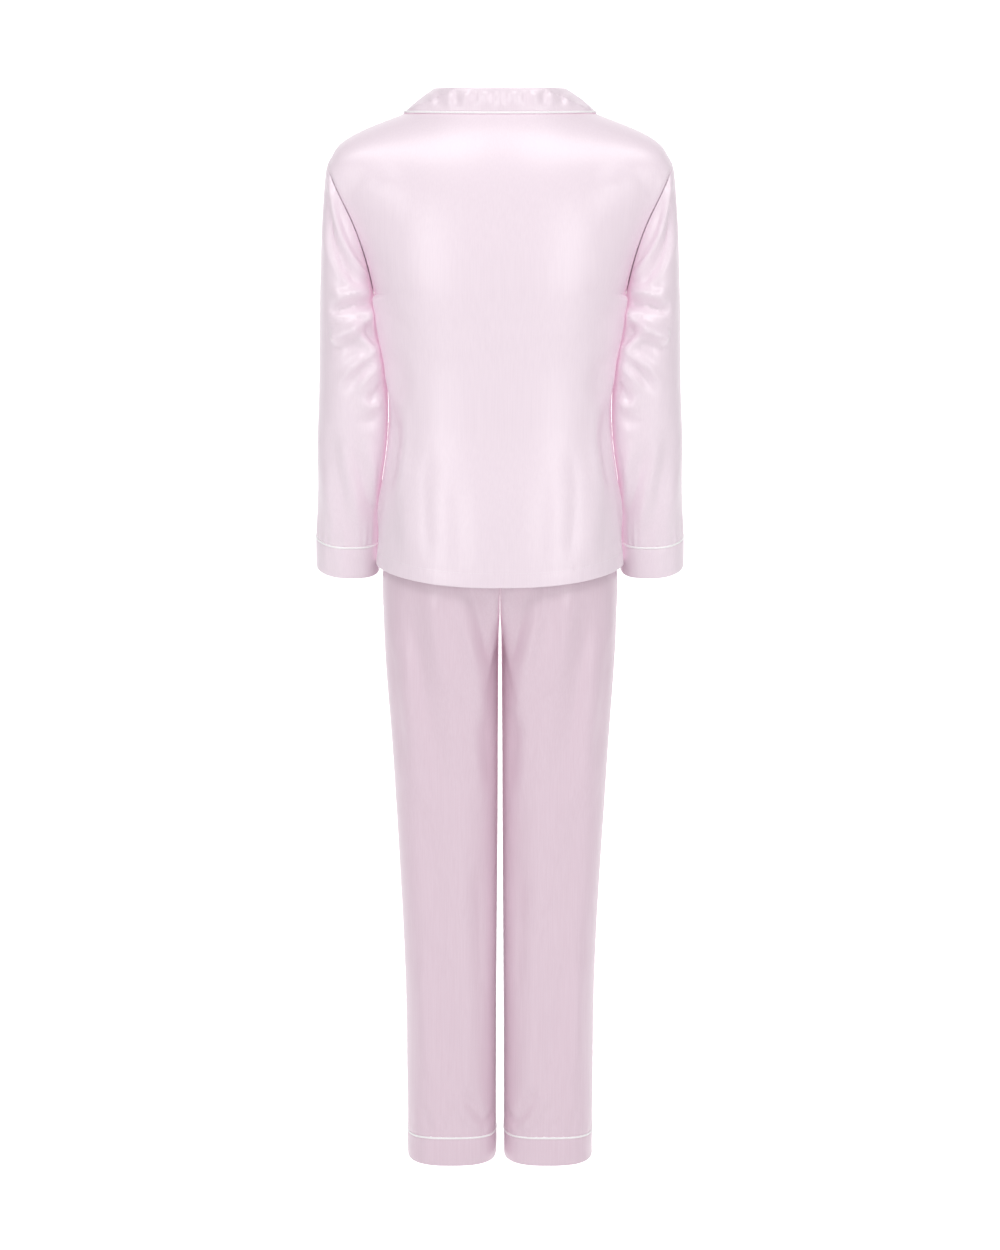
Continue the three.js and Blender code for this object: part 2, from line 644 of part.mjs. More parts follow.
function collarPiping() {
  const end = (grid, inner) => {
    const count = grid.length;
    const notch = count - 1 - FALL_STEPS / 2;
    const edge = [];
    for (const part of [PIPING_FROM_NOTCH, 0.65, 1]) {
      const reach = mix(notch, count - 1, part);
      const k = Math.min(Math.floor(reach), count - 2);
      const at = grid[k].at.clone().lerp(grid[k + 1].at, reach - k);
      const before = inner[k].at.clone().lerp(inner[k + 1].at, reach - k);
      edge.push(besideEdge({ at, out: grid[k].out }, { at: before }));
    }
    return edge;
  };
  return edgeCord([
    end(collarGrid[0], collarGrid[1]),
    collarGrid.map((line) => besideEdge(line.at(-1), line.at(-2))),
    end(collarGrid.at(-1), collarGrid.at(-2)).reverse(),
  ]);
}

function lapelPiping(side) {
  const top = [];
  const from = mix(NOTCH, 1, PIPING_FROM_NOTCH);
  for (const part of [0, 0.5, 1]) {
    const across = mix(from, 1, part);
    top.push(besideEdge(lapelPlace(side, 1, across), lapelPlace(side, 0.96, across)));
  }
  const edge = [];
  for (let j = 2 * LAPEL_ROWS; j > 1; j -= 1) {
    const along = j / (2 * LAPEL_ROWS);
    edge.push(besideEdge(lapelPlace(side, along, 1), lapelPlace(side, along, 0.8)));
  }
  return edgeCord([top, edge]);
}

// Armhole edge of the shirt. around is 0 at the armpit, 0.5 at the shoulder tip and again 1 at
// the armpit, up the back and down the front.
function armhole(side, around) {
  const turn = ((around % 1) + 1) % 1;
  const front = turn > 0.5;
  const share = front ? 2 - 2 * turn : 2 * turn;
  const level = 1 + share ** 1.25;
  return shirtPlace(side, front, armholeColumn(level), level);
}

// Section of a sleeve or cuff, with around as in the armhole and lower at the back by the tilt
function sleeveSection(side, z, around) {
  const size = (column) => sample(SLEEVE_SECTIONS, 'z', column, z);
  const turn = around * 2 * Math.PI;
  const back = size('deep') * Math.sin(turn);
  const tilt = CUFF_TILT * smooth(z, SLEEVE_TOP_Z, SLEEVE_SEAM_Z + 60);
  return vector(
    side * (size('centre') - size('wide') * Math.cos(turn)),
    size('fore') - back, z - tilt * back,
  );
}

// The sleeve's outer face. level is 0 at the armhole, 1 at the top of the arm and 2 at the cuff.
function sleeve(side, around, level) {
  if (level >= 1) {
    const z = mix(SLEEVE_TOP_Z, SLEEVE_SEAM_Z + PIPING + SEAM_GAP, level - 1);
    return sleeveSection(side, z, around);
  }
  const { at: from, out } = armhole(side, around);
  const tip = Math.sin(around * Math.PI) ** 2;
  const face = Math.sin(around * 2 * Math.PI) ** 2;
  const pick = (row) => mix(mix(row.armpit, row.tip, tip), row.face, face);
  const leave = vector(side * pick(SLEEVE_SPREAD), 0, -1).normalize();
  const start = from.addScaledVector(out, SEAM_GAP * (1 - tip))
    .addScaledVector(leave, SEAM_GAP * (0.4 + tip));
  const end = sleeveSection(side, SLEEVE_TOP_Z, around);
  const fall = sleeveSection(side, SLEEVE_TOP_Z - 1, around).sub(end);
  return hermiteVector(
    start, leave.multiplyScalar(pick(SLEEVE_LEAVE)),
    end, fall.multiplyScalar(SLEEVE_ARRIVE), level,
  );
}

function sleevePlace(side, around, level) {
  const surface = (a, b) => sleeve(side, a, b);
  const out = normalOf(surface, around, clamp(level, 0.003, 1.997), -side);
  const at = surface(around, level);
  const depth = foldDepth(SLEEVE_FOLDS, at, out) * smooth(level, 0.1, 0.8);
  return { at: at.addScaledVector(out, -depth), out };
}

const SLEEVE_COLUMNS = 2 * UPPER_ROWS;
const around = (i) => i / SLEEVE_COLUMNS;

function sleeveTube(side) {
  const levels = [
    ...Array.from({ length: SLEEVE_CAP_ROWS }, (_, j) => j / SLEEVE_CAP_ROWS),
    ...Array.from({ length: SLEEVE_ROWS + 1 }, (_, j) => 1 + j / SLEEVE_ROWS),
  ];
  const skin = [];
  for (let i = 0; i < SLEEVE_COLUMNS; i += 1) {
    skin.push(levels.map((level) => sleevePlace(side, around(i), level)));
  }
  return wall(skin, CLOTH, { closed: true });
}

function cuffPlace(side, share, z) {
  const surface = (a, b) => sleeveSection(side, b, a);
  return { at: surface(share, z), out: normalOf(surface, share, z, side) };
}

function cuff(side) {
  const top = SLEEVE_SEAM_Z - PIPING - SEAM_GAP;
  const skin = [];
  for (let i = 0; i < SLEEVE_COLUMNS; i += 1) {
    const line = [];
    for (let j = 0; j <= BAND_ROWS; j += 1) {
      const place = cuffPlace(side, around(i), mix(top, CUFF_HEM_Z, j / BAND_ROWS));
      place.at.addScaledVector(place.out, 0.5);
      line.push(place);
    }
    skin.push(line);
  }
  return wall(skin, BAND, { closed: true, gap: 0 });
}

function cuffPiping(side) {
  const path = [];
  for (let i = 0; i < SLEEVE_COLUMNS; i += 1) {
    const place = cuffPlace(side, around(i), SLEEVE_SEAM_Z);
    place.at.addScaledVector(place.out, -PIPING_PROUD);
    path.push(place);
  }
  return cord(path, { closed: true });
}

// Section of one trouser leg. u is 0 at the inside leg or centre back, 0.5 at the side seam and
// 1 at the inside leg or centre front.
function legSection(side, z, u) {
  const size = (column) => sample(LEG_SECTIONS, 'z', column, z);
  const turn = u * 2 * Math.PI;
  const round = 2 / LEG_SQUARENESS;
  const middle = (size('inner') + size('outer')) / 2;
  const half = (size('outer') - size('inner')) / 2;
  return vector(
    side * (middle - half * power(Math.cos(turn), round)),
    size('fore') - size('deep') * power(Math.sin(turn), round), z,
  );
}

function hipSection(side, z, u) {
  const size = (column) => sample(HIP_SECTIONS, 'z', column, z);
  const share = (1 - power(Math.cos(u * 2 * Math.PI), 2 / LEG_SQUARENESS)) / 2;
  const deep = (1 - share ** SQUARENESS) ** (1 / SQUARENESS);
  return vector(side * size('side') * share, u < 0.5 ? -size('back') * deep : size('front') * deep, z);
}

// The trousers' outer face: the seat above, the leg below, and the seat seam turning under
function trousers(side, u, z) {
  const leg = legSection(side, Math.min(z, CROTCH_Z), u);
  leg.z = z;
  const hip = hipSection(side, Math.max(z, CROTCH_Z), u);
  hip.z = z;
  const outside = smooth(Math.sin(u * Math.PI), 0, 0.6);
  const start = CROTCH_Z - SEAT_BLEND * outside;
  const height = clamp((z - start) / (SEAT_Z - start), 0, 1);
  return leg.lerp(hip, mix(Math.sqrt(1 - (1 - height) ** 2), smooth(height, 0, 1), outside));
}

function trouserPlace(side, u, z) {
  const surface = (a, b) => trousers(side, z > CROTCH_Z ? clamp(a, 0, 1) : a, b);
  const out = normalOf(surface, u, z, side, 0.02);
  if (z > CROTCH_Z + 4 && (u === 0 || u === 1)) out.setX(0).normalize();
  const at = surface(u, z);
  return { at: at.addScaledVector(out, -foldDepth(LEG_FOLDS, at, out)), out };
}

const legSeam = (u) => LEG_SEAM_Z + LEG_SEAM_RISE * Math.sin(u * 2 * Math.PI) ** 2;

// Heights of a trouser panel's rows at column u, close together where the seat turns under
function trouserHeights(u) {
  const heights = [];
  for (let j = 0; j < SEAT_ROWS; j += 1) heights.push(mix(WAIST_SEAM_Z, SEAT_Z, j / SEAT_ROWS));
  for (let j = 0; j < CROTCH_ROWS; j += 1) {
    heights.push(mix(CROTCH_Z, SEAT_Z, (1 - j / CROTCH_ROWS) ** 1.6));
  }
  const end = legSeam(u) + PIPING + SEAM_GAP;
  for (let j = 0; j <= LEG_ROWS; j += 1) heights.push(mix(CROTCH_Z, end, j / LEG_ROWS));
  return heights;
}

function trouserPanel(side, front) {
  const skin = [];
  for (let i = 0; i <= PANEL_COLUMNS; i += 1) {
    const u = (front ? 0.5 : 0) + (0.5 * i) / PANEL_COLUMNS;
    skin.push(trouserHeights(u).map((z) => trouserPlace(side, u, z)));
  }
  return wall(skin, CLOTH);
}

const LEG_COLUMNS = 2 * PANEL_COLUMNS;

function hemBand(side) {
  const surface = (a, b) => legSection(side, b, a);
  const skin = [];
  for (let i = 0; i < LEG_COLUMNS; i += 1) {
    const u = i / LEG_COLUMNS;
    const line = [];
    for (let j = 0; j <= BAND_ROWS; j += 1) {
      const z = mix(legSeam(u) - PIPING - SEAM_GAP, LEG_HEM_Z, j / BAND_ROWS);
      const out = normalOf(surface, u, z, side);
      line.push({ at: surface(u, z).addScaledVector(out, 0.5), out });
    }
    skin.push(line);
  }
  return wall(skin, BAND, { closed: true, gap: 0 });
}

function hemPiping(side) {
  const surface = (a, b) => legSection(side, b, a);
  const path = [];
  for (let i = 0; i < LEG_COLUMNS; i += 1) {
    const u = i / LEG_COLUMNS;
    const out = normalOf(surface, u, legSeam(u), side);
    path.push({ at: surface(u, legSeam(u)).addScaledVector(out, -PIPING_PROUD), out });
  }
  return cord(path, { closed: true });
}

function waistband() {
  const count = 4 * PANEL_COLUMNS;
  const surface = (a, b) => {
    const size = (column) => sample(HIP_SECTIONS, 'z', column, b);
    const { x, y } = superellipse(size('side'), size('back'), size('front'), a, SQUARENESS);
    return vector(x, y, b);
  };
  const skin = [];
  for (let i = 0; i < count; i += 1) {
    const u = (4 * i) / count;
    const line = [];
    for (let j = 0; j <= BAND_ROWS; j += 1) {
      const z = mix(WAIST_SEAM_Z + SEAM_GAP, WAIST_TOP_Z, j / BAND_ROWS);
      const out = normalOf(surface, u, z, 1);
      if (out.dot(vector(out.x, 0, 0).add(surface(u, z))) < 0) out.negate();
      line.push({ at: surface(u, z).addScaledVector(out, 0.8), out });
    }
    skin.push(line);
  }
  return wall(skin, ELASTIC, { closed: true, gap: 0 });
}

function button(name, z) {
  const rim = 0.8;
  const profile = [
    new THREE.Vector2(0, 0),
    new THREE.Vector2(BUTTON_RADIUS - rim, 0),
    new THREE.Vector2(BUTTON_RADIUS, rim),
    new THREE.Vector2(BUTTON_RADIUS, BUTTON_THICK - rim / 2),
    new THREE.Vector2(BUTTON_RADIUS - rim, BUTTON_THICK),
    new THREE.Vector2(BUTTON_RADIUS - 2 * rim, BUTTON_THICK - rim / 2),
    new THREE.Vector2(0, BUTTON_THICK - rim / 2),
  ];
  const level = search(0, 1.6, (value) => shirt(2, value).z < z);
  const place = shirtPlace(1, true, 0, level);
  const mesh = sew(name, new THREE.LatheGeometry(profile, BUTTON_SIDES), BUTTON_PLASTIC);
  mesh.quaternion.setFromUnitVectors(vector(0, 1, 0), place.out);
  mesh.position.copy(place.at.addScaledVector(place.out, 2 * SEAM_GAP));
}

const SIDES = [{ side: -1, word: 'left' }, { side: 1, word: 'right' }];

sew('shirt_back', shirtBack(), SHIRT_SATIN);
sew('collar', collar(), SHIRT_SATIN);
sew('collar_piping', collarPiping(), PIPING_SATIN);
for (const { side, word } of SIDES) {
  sew(`shirt_front_${word}`, shirtFront(side), SHIRT_SATIN);
  sew(`lapel_${word}`, lapel(side), SHIRT_SATIN);
  sew(`lapel_piping_${word}`, lapelPiping(side), PIPING_SATIN);
  sew(`sleeve_${word}`, sleeveTube(side), SHIRT_SATIN);
  sew(`cuff_${word}`, cuff(side), SHIRT_SATIN);
  sew(`cuff_piping_${word}`, cuffPiping(side), PIPING_SATIN);
  sew(`trouser_back_${word}`, trouserPanel(side, false), TROUSER_SATIN);
  sew(`trouser_front_${word}`, trouserPanel(side, true), TROUSER_SATIN);
  sew(`hem_band_${word}`, hemBand(side), TROUSER_SATIN);
  sew(`hem_piping_${word}`, hemPiping(side), PIPING_SATIN);
}
sew('waistband', waistband(), TROUSER_SATIN);
BUTTON_HEIGHTS.forEach((z, i) => button(`button_${i + 1}`, z));

export default set;
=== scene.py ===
"""A two-piece satin pyjama set, shown as worn with no wearer in it.

Sizes are in millimetres until a mesh is made. The wearer faces +Y, +Z is up and -X is the
wearer's left. Height 0 is where the shoulder seams meet the neck.
"""
import itertools
import logging
import math
from collections.abc import Callable, Sequence
from dataclasses import dataclass, field
from enum import Enum, IntEnum

import bpy
import numpy as np
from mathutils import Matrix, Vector


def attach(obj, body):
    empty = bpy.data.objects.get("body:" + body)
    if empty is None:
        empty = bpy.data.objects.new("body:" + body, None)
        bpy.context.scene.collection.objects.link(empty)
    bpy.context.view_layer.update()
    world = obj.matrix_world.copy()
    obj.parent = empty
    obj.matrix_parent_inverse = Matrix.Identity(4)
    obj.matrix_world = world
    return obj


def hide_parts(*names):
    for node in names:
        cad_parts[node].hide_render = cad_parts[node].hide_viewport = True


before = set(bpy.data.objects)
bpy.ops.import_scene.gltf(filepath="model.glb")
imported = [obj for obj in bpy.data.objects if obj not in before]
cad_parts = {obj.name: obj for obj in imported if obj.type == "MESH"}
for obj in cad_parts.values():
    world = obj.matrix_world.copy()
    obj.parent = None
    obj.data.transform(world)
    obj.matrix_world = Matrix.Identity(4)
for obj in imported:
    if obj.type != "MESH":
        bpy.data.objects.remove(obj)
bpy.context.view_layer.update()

logging.basicConfig(level=logging.INFO, format="%(message)s")
LOG = logging.getLogger("pyjama_set")

Array = np.ndarray
Surface = Callable[[Array, Array], Array]
MM = 0.001
SEAM_GAP = 0.3  # between pieces that are sewn together
PIPING_RADIUS = 1.5
TURN = 2 * math.pi


class Hand(IntEnum):
    """A side of the wearer, as the sign of its X."""

    LEFT = -1
    RIGHT = 1

    @property
    def word(self) -> str:
        """The side's name, as the nodes have it."""
        return self.name.lower()


class Face(IntEnum):
    """The way a part of the cloth looks, as the sign of its Y."""

    BACK = -1
    FRONT = 1


# Numbers and curves


def mix(low: Array, high: Array, share: Array) -> Array:
    """Value between low and high at a share."""
    return low + (high - low) * share


def smooth(value: Array, low: float, high: float) -> Array:
    """Soft step from 0 at low to 1 at high."""
    share = np.clip((value - low) / (high - low), 0, 1)
    return share * share * (3 - 2 * share)


def between(value: Array, start: float, full: float, fade: float, end: float) -> Array:
    """Soft hill that rises from start to full and sinks from fade to end."""
    return smooth(value, start, full) * (1 - smooth(value, fade, end))


def power(value: Array, exponent: float) -> Array:
    """Power of a value that keeps its sign."""
    return np.sign(value) * np.abs(value) ** exponent


def uneven(along: Array, pitch: float, drift: float, period: float, start: float = 0) -> Array:
    """Wave whose pitch drifts to and fro, so that no two ripples are alike.

    Args:
        along: Length or turn along it.
        pitch: Length of one radian.
        drift: How far it runs ahead and behind, in radians.
        period: Length of one radian of the drift.
        start: Where it starts, in radians.

    Returns:
        Heights from -1 to 1.
    """
    return np.sin(along / pitch + drift * np.sin(along / period) + start)


def unit(arrows: Array) -> Array:
    """Vectors brought to length 1."""
    return arrows / np.maximum(np.linalg.norm(arrows, axis=-1, keepdims=True), 1e-9)


def vectors(x: Array, y: Array, z: Array) -> Array:
    """Points from their three coordinates."""
    return np.stack(np.broadcast_arrays(x, y, z), axis=-1).astype(float)


def dot(a: Array, b: Array) -> Array:
    """Dot products, with the last axis kept."""
    return np.sum(a * b, axis=-1, keepdims=True)


def hermite(start: Array, leave: Array, end: Array, arrive: Array, share: Array) -> Array:
    """Cubic from start to end.

    Args:
        start, end: Values at share 0 and 1.
        leave, arrive: Pulls with which the curve leaves and arrives.
        share: Where along the curve, shaped to broadcast with the rest.

    Returns:
        The values there.
    """
    two, three = share**2, share**3
    return (
        start * (2 * three - 3 * two + 1)
        + leave * (three - 2 * two + share)
        + end * (3 * two - 2 * three)
        + arrive * (three - two)
    )


class Table:
    """Rows of measures against a height or share, joined by smooth curves."""

    def __init__(self, *rows: Sequence[float]) -> None:
        """Keep the rows.

        Args:
            rows: Each one the height or share, then the measures there.
        """
        rising = np.array(sorted(rows), dtype=float)
        self.keys, self.values = rising[:, 0], rising[:, 1:]
        count = len(rising)
        low = np.maximum(np.arange(count) - 1, 0)
        high = np.minimum(np.arange(count) + 1, count - 1)
        rise = self.values[high] - self.values[low]
        self.slopes = rise / (self.keys[high] - self.keys[low])[:, None]

    def at(self, where: Array) -> Array:
        """Measures at a height or share.

        Args:
            where: Any array of heights or shares.

        Returns:
            The measures, on one more axis at the end.
        """
        where = np.asarray(where, dtype=float)
        i = np.clip(np.searchsorted(self.keys, where, side="left") - 1, 0, len(self.keys) - 2)
        span = self.keys[i + 1] - self.keys[i]
        share = ((where - self.keys[i]) / span)[..., None]
        pull = span[..., None]
        return hermite(
            self.values[i], self.slopes[i] * pull, self.values[i + 1], self.slopes[i + 1] * pull, share
        )


def search(low: Array, high: Array, test: Callable[[Array], Array]) -> Array:
    """Halve ranges until a test changes there.

    Args:
        low, high: Ends of the ranges.
        test: True at the low ends.

    Returns:
        The places where the test changes.
    """
    low, high = (np.array(end, dtype=float) for end in np.broadcast_arrays(low, high))
    for _ in range(26):
        middle = (low + high) / 2
        passed = test(middle)
        low, high = np.where(passed, middle, low), np.where(passed, high, middle)
    return low


def normal_of(surface: Surface, a: Array, b: Array, flip: float = 1, step: float = 0.002) -> Array:
    """Outward directions of a surface.

    Args:
        surface: The surface, of two numbers.
        a, b: Where on it.
        flip: -1 where the surface's numbers run the other way round.
        step: Step for the slopes.

    Returns:
        Unit vectors.
    """
    along_a = surface(a + step, b) - surface(a - step, b)
    along_b = surface(a, b + step) - surface(a, b - step)
    return unit(np.cross(along_a, along_b)) * flip


def spread(count: int, length: float) -> Array:
    """Shares from 0 to 1, closer together beside both ends, where seams dip.

    Args:
        count: How many even steps lie between the ends.
        length: Rough length in millimetres of what is divided.

    Returns:
        The rising shares.
    """
    close = np.array([0, 0.8, 1.8, 3.2]) / length
    even = np.linspace(5.5 / length, 1 - 5.5 / length, count + 1)
    return np.concatenate([close, even, 1 - close[::-1]])


# Grids of cloth


def facing(at: Array, like: Array, closed: bool) -> Array:
    """Outward directions of a grid of points.

    Args:
        at: The points, by column and row.
        like: Directions that say which way is out.
        closed: Whether the last column meets the first.

    Returns:
        Unit vectors.
    """
    along = np.roll(at, -1, 0) - np.roll(at, 1, 0) if closed else np.gradient(at, axis=0)
    out = unit(np.cross(along, np.gradient(at, axis=1)))
    return out * np.where(dot(out, like) < 0, -1, 1)


@dataclass(frozen=True)
class Crease:
    """A soft trough or ridge, drawn as a line across the front view and mirrored.

    Below 0, deep makes a ridge. The ends fade out over the share fade of the length.
    """

    line: tuple[tuple[float, float], ...]
    wide: float
    deep: float
    face: Face = Face.BACK
    fade: float = 0.3

    def path(self) -> Array:
        """The line, rounded through its points."""
        shares = np.linspace(0, len(self.line) - 1, 4 * len(self.line))
        if len(self.line) == 2:
            return mix(np.array(self.line[0]), np.array(self.line[1]), shares[:, None])
        return Table(*((i, *point) for i, point in enumerate(self.line))).at(shares)

    def depth(self, at: Array, out: Array) -> Array:
        """How far this crease sinks the cloth.

        Args:
            at: Points of the cloth.
            out: Their outward directions.

        Returns:
            Depths, of the grid's shape.
        """
        path = self.path()
        seen = np.stack([np.abs(at[..., 0]), at[..., 2]], axis=-1)
        reach = 3.2 * self.wide
        near = np.all((seen > path.min(0) - reach) & (seen < path.max(0) + reach), axis=-1)
        near &= self.face * out[..., 1] > 0
        depth = np.zeros(at.shape[:-1])
        if not near.any():
            return depth
        points = seen[near]
        best = np.full(len(points), np.inf)
        share = np.zeros(len(points))
        for k in range(len(path) - 1):
            step = path[k + 1] - path[k]
            part = np.clip((points - path[k]) @ step / (step @ step), 0, 1)
            away = np.linalg.norm(points - path[k] - part[:, None] * step, axis=1)
            nearer = away < best
            best[nearer] = away[nearer]
            share[nearer] = (k + part[nearer]) / (len(path) - 1)
        across = best / self.wide
        profile = np.exp(-(across**1.7)) - 0.22 * np.exp(-((across - 1.9) ** 2) / 0.5)
        ends = smooth(share, 0, self.fade) * smooth(1 - share, 0, self.fade)
        side = smooth(self.face * out[near][:, 1], 0, 0.5)
        depth[near] = self.deep * profile * ends * side
        return depth


def creased(at: Array, out: Array, creases: Sequence[Crease]) -> Array:
    """Depths of several creases together."""
    return sum((crease.depth(at, out) for crease in creases), np.zeros(at.shape[:-1]))


def lengths(at: Array, axis: int) -> Array:
    """Running length of each grid line along an axis."""
    steps = np.linalg.norm(np.diff(at, axis=axis), axis=-1)
    start = np.zeros_like(np.take(steps, [0], axis=axis))
    return np.cumsum(np.concatenate([start, steps], axis=axis), axis=axis)


@dataclass(frozen=True)
class Sewn:
    """Which borders of a piece are sewn: its first and last column, its first and last row."""

    first: bool = False
    last: bool = False
    low: bool = False
    high: bool = False
    dip: float = 0.35
    pucker: float = 0.3

    def depth(self, at: Array) -> Array:
        """How far the cloth dips beside its seams, with small puckers.

        Args:
            at: Points of the cloth, by column and row.

        Returns:
            Depths, of the grid's shape.
        """
        round_, up = lengths(at, 0), lengths(at, 1)
        borders = [
            (self.first, round_, up),
            (self.last, round_[-1:] - round_, up),
            (self.low, up, round_),
            (self.high, up[:, -1:] - up, round_),
        ]
        depth = np.zeros(at.shape[:-1])
        for sewn, away, along in borders:
            if not sewn:
                continue
            wave = uneven(TURN * along, 8.5, 1.9, 67) + 0.6 * uneven(TURN * along, 14.3, 2, 111)
            depth += self.dip * np.exp(-((away / 2.6) ** 2))
            depth += self.pucker * wave * np.exp(-away / 9) * (1 - np.exp(-away / 1.5))
        return depth


def band_depth(share: Array, tall: float, soft: Array, fine: Array) -> Array:
    """How far a doubled band sinks in beside its seam and at its lower fold.

    Args:
        share: 0 at the seam and 1 at the fold.
        tall: The band's height.
        soft, fine: Its ripples, and the puckers beside its seam.

    Returns:
        Depths.
    """
    ripple = soft * np.sin(share * math.pi) + fine * np.exp(-share * 9)
    return ripple + 0.5 * np.exp(-((share * tall / 2) ** 2)) + 0.5 * smooth(share, 0.94, 1.0) - 0.5


def grid_faces(columns: int, rows: int, closed: bool) -> Array:
    """Faces with four corners of a grid whose points are numbered column by column."""
    i, j = np.meshgrid(np.arange(columns - (not closed)), np.arange(rows - 1), indexing="ij")
    a = i * rows + j
    b = ((i + 1) % columns) * rows + j
    return np.stack([a, b, b + 1, a + 1], axis=-1).reshape(-1, 4)


def circle(up: Array, across: Array, sides: int) -> Array:
    """Directions round a circle from up over across, on a new axis before the last."""
    turn = (np.arange(sides) / sides * TURN)[:, None]
    return up[..., None, :] * np.cos(turn) + across[..., None, :] * np.sin(turn)


def tube_faces(rings: int, sides: int, closed: bool = False) -> list[Array]:
    """Faces of a tube with points numbered ring by ring, and of its caps unless it is closed."""
    i, k = np.meshgrid(np.arange(rings - (not closed)), np.arange(sides), indexing="ij")
    a, b = i * sides + k, i * sides + (k + 1) % sides
    after = lambda point: (point + sides) % (rings * sides)
    faces = [np.stack([a, b, after(b), after(a)], axis=-1).reshape(-1, 4)]
    if not closed:
        cap = np.arange(sides)[None]
        faces += [cap[:, ::-1], cap + (rings - 1) * sides]
    return faces


def rims(columns: int, rows: int, closed: bool) -> list[tuple[Array, Array]]:
    """Loops of points round a grid's free borders.

    Args:
        columns, rows: The grid's size.
        closed: Whether the last column meets the first.

    Returns:
        For each loop the numbers of its points, and of the points beside them in the grid.
    """
    i, j = np.arange(columns), np.arange(rows)
    if closed:
        loops = [(i, 0 * i), (i[::-1], 0 * i + rows - 1)]
    else:
        loops = [(
            np.concatenate([i, 0 * j[1:] + columns - 1, i[-2::-1], 0 * j[1:-1]]),
            np.concatenate([0 * i, j[1:], 0 * i[1:] + rows - 1, j[-2:0:-1]]),
        )]
    found = []
    for column, row in loops:
        beside = column if closed else np.clip(column, 1, columns - 2)
        found.append((column * rows + row, beside * rows + np.clip(row, 1, rows - 2)))
    return found


def make_object(name: str, points: Array, faces: Sequence[Array], sharp: float = 50) -> bpy.types.Object:
    """Make a mesh object from points in millimetres.

    Args:
        name: The object's name.
        points: All its points.
        faces: Groups of faces, each group with one number of corners.
        sharp: Angle in degrees from which an edge shows as an edge.

    Returns:
        The object, linked to the scene.
    """
    mesh = bpy.data.meshes.new(name)
    corners = np.concatenate([group.ravel() for group in faces]).astype(np.int32)
    totals = np.concatenate([np.full(len(group), group.shape[1]) for group in faces])
    starts = np.concatenate([[0], np.cumsum(totals)[:-1]])
    mesh.vertices.add(len(points))
    mesh.vertices.foreach_set("co", (points * MM).astype(np.float32).ravel())
    mesh.loops.add(len(corners))
    mesh.loops.foreach_set("vertex_index", corners)
    mesh.polygons.add(len(totals))
    mesh.polygons.foreach_set("loop_start", starts.astype(np.int32))
    mesh.polygons.foreach_set("loop_total", totals.astype(np.int32))
    mesh.update(calc_edges=True)
    mesh.polygons.foreach_set("use_smooth", np.ones(len(totals), dtype=bool))
    mesh.set_sharp_from_angle(angle=math.radians(sharp))
    thing = bpy.data.objects.new(name, mesh)
    bpy.context.scene.collection.objects.link(thing)
    return thing


def cloth(name: str, at: Array, out: Array, thick: float, closed: bool = False) -> bpy.types.Object:
    """Make a wall of cloth with rounded edges.

    Args:
        name: The object's name.
        at: Points of the outer face, by column and row.
        out: Their outward directions.
        thick: The wall's thickness.
        closed: Whether the last column meets the first.

    Returns:
        The object.
    """
    columns, rows = at.shape[:2]
    outer = at.reshape(-1, 3)
    inner = (at - out * thick).reshape(-1, 3)
    skin = grid_faces(columns, rows, closed)
    count = len(outer)
    points = [outer, inner]
    faces = [skin, skin[:, ::-1] + count]
    total = 2 * count
    for edge, beside in rims(columns, rows, closed):
        off = unit(outer[edge] - outer[beside])
        points.append((outer[edge] + inner[edge]) / 2 + off * thick * 0.45)
        ring = np.arange(len(edge))
        after = np.roll(ring, -1)
        faces.append(np.stack([edge[after], edge[ring], total + ring, total + after], axis=-1))
        faces.append(np.stack(
            [total + after, total + ring, count + edge[ring], count + edge[after]], axis=-1
        ))
        total += len(edge)
    a, b, c = (outer[skin[len(skin) // 2]][k] for k in range(3))
    if np.dot(np.cross(b - a, c - a), out.reshape(-1, 3)[skin[len(skin) // 2][0]]) < 0:
        faces = [group[:, ::-1] for group in faces]
    return make_object(name, np.concatenate(points), faces)


def cord(
    name: str, path: Array, out: Array, radius: float, closed: bool = False, sides: int = 12
) -> bpy.types.Object:
    """Make a round cord along points.

    Args:
        name: The object's name.
        path: The middle of the cord.
        out: Directions that its sections start from.
        radius: The cord's radius.
        closed: Whether it runs back into itself.
        sides: Number of sides.

    Returns:
        The object.
    """
    along = np.roll(path, -1, 0) - np.roll(path, 1, 0) if closed else np.gradient(path, axis=0)
    across = unit(np.cross(along, out))
    up = unit(np.cross(across, along))
    run = lengths(path, 0)
    size = radius * (1 + 0.035 * uneven(TURN * run, 6.3, 1.5, 47))
    if not closed:
        size = size * np.sqrt(np.clip(np.minimum(run, run[-1] - run) / (1.2 * radius), 0.08, 1))
    points = path[:, None] + circle(up, across, sides) * size[:, None, None]
    return make_object(name, points.reshape(-1, 3), tube_faces(len(path), sides, closed))


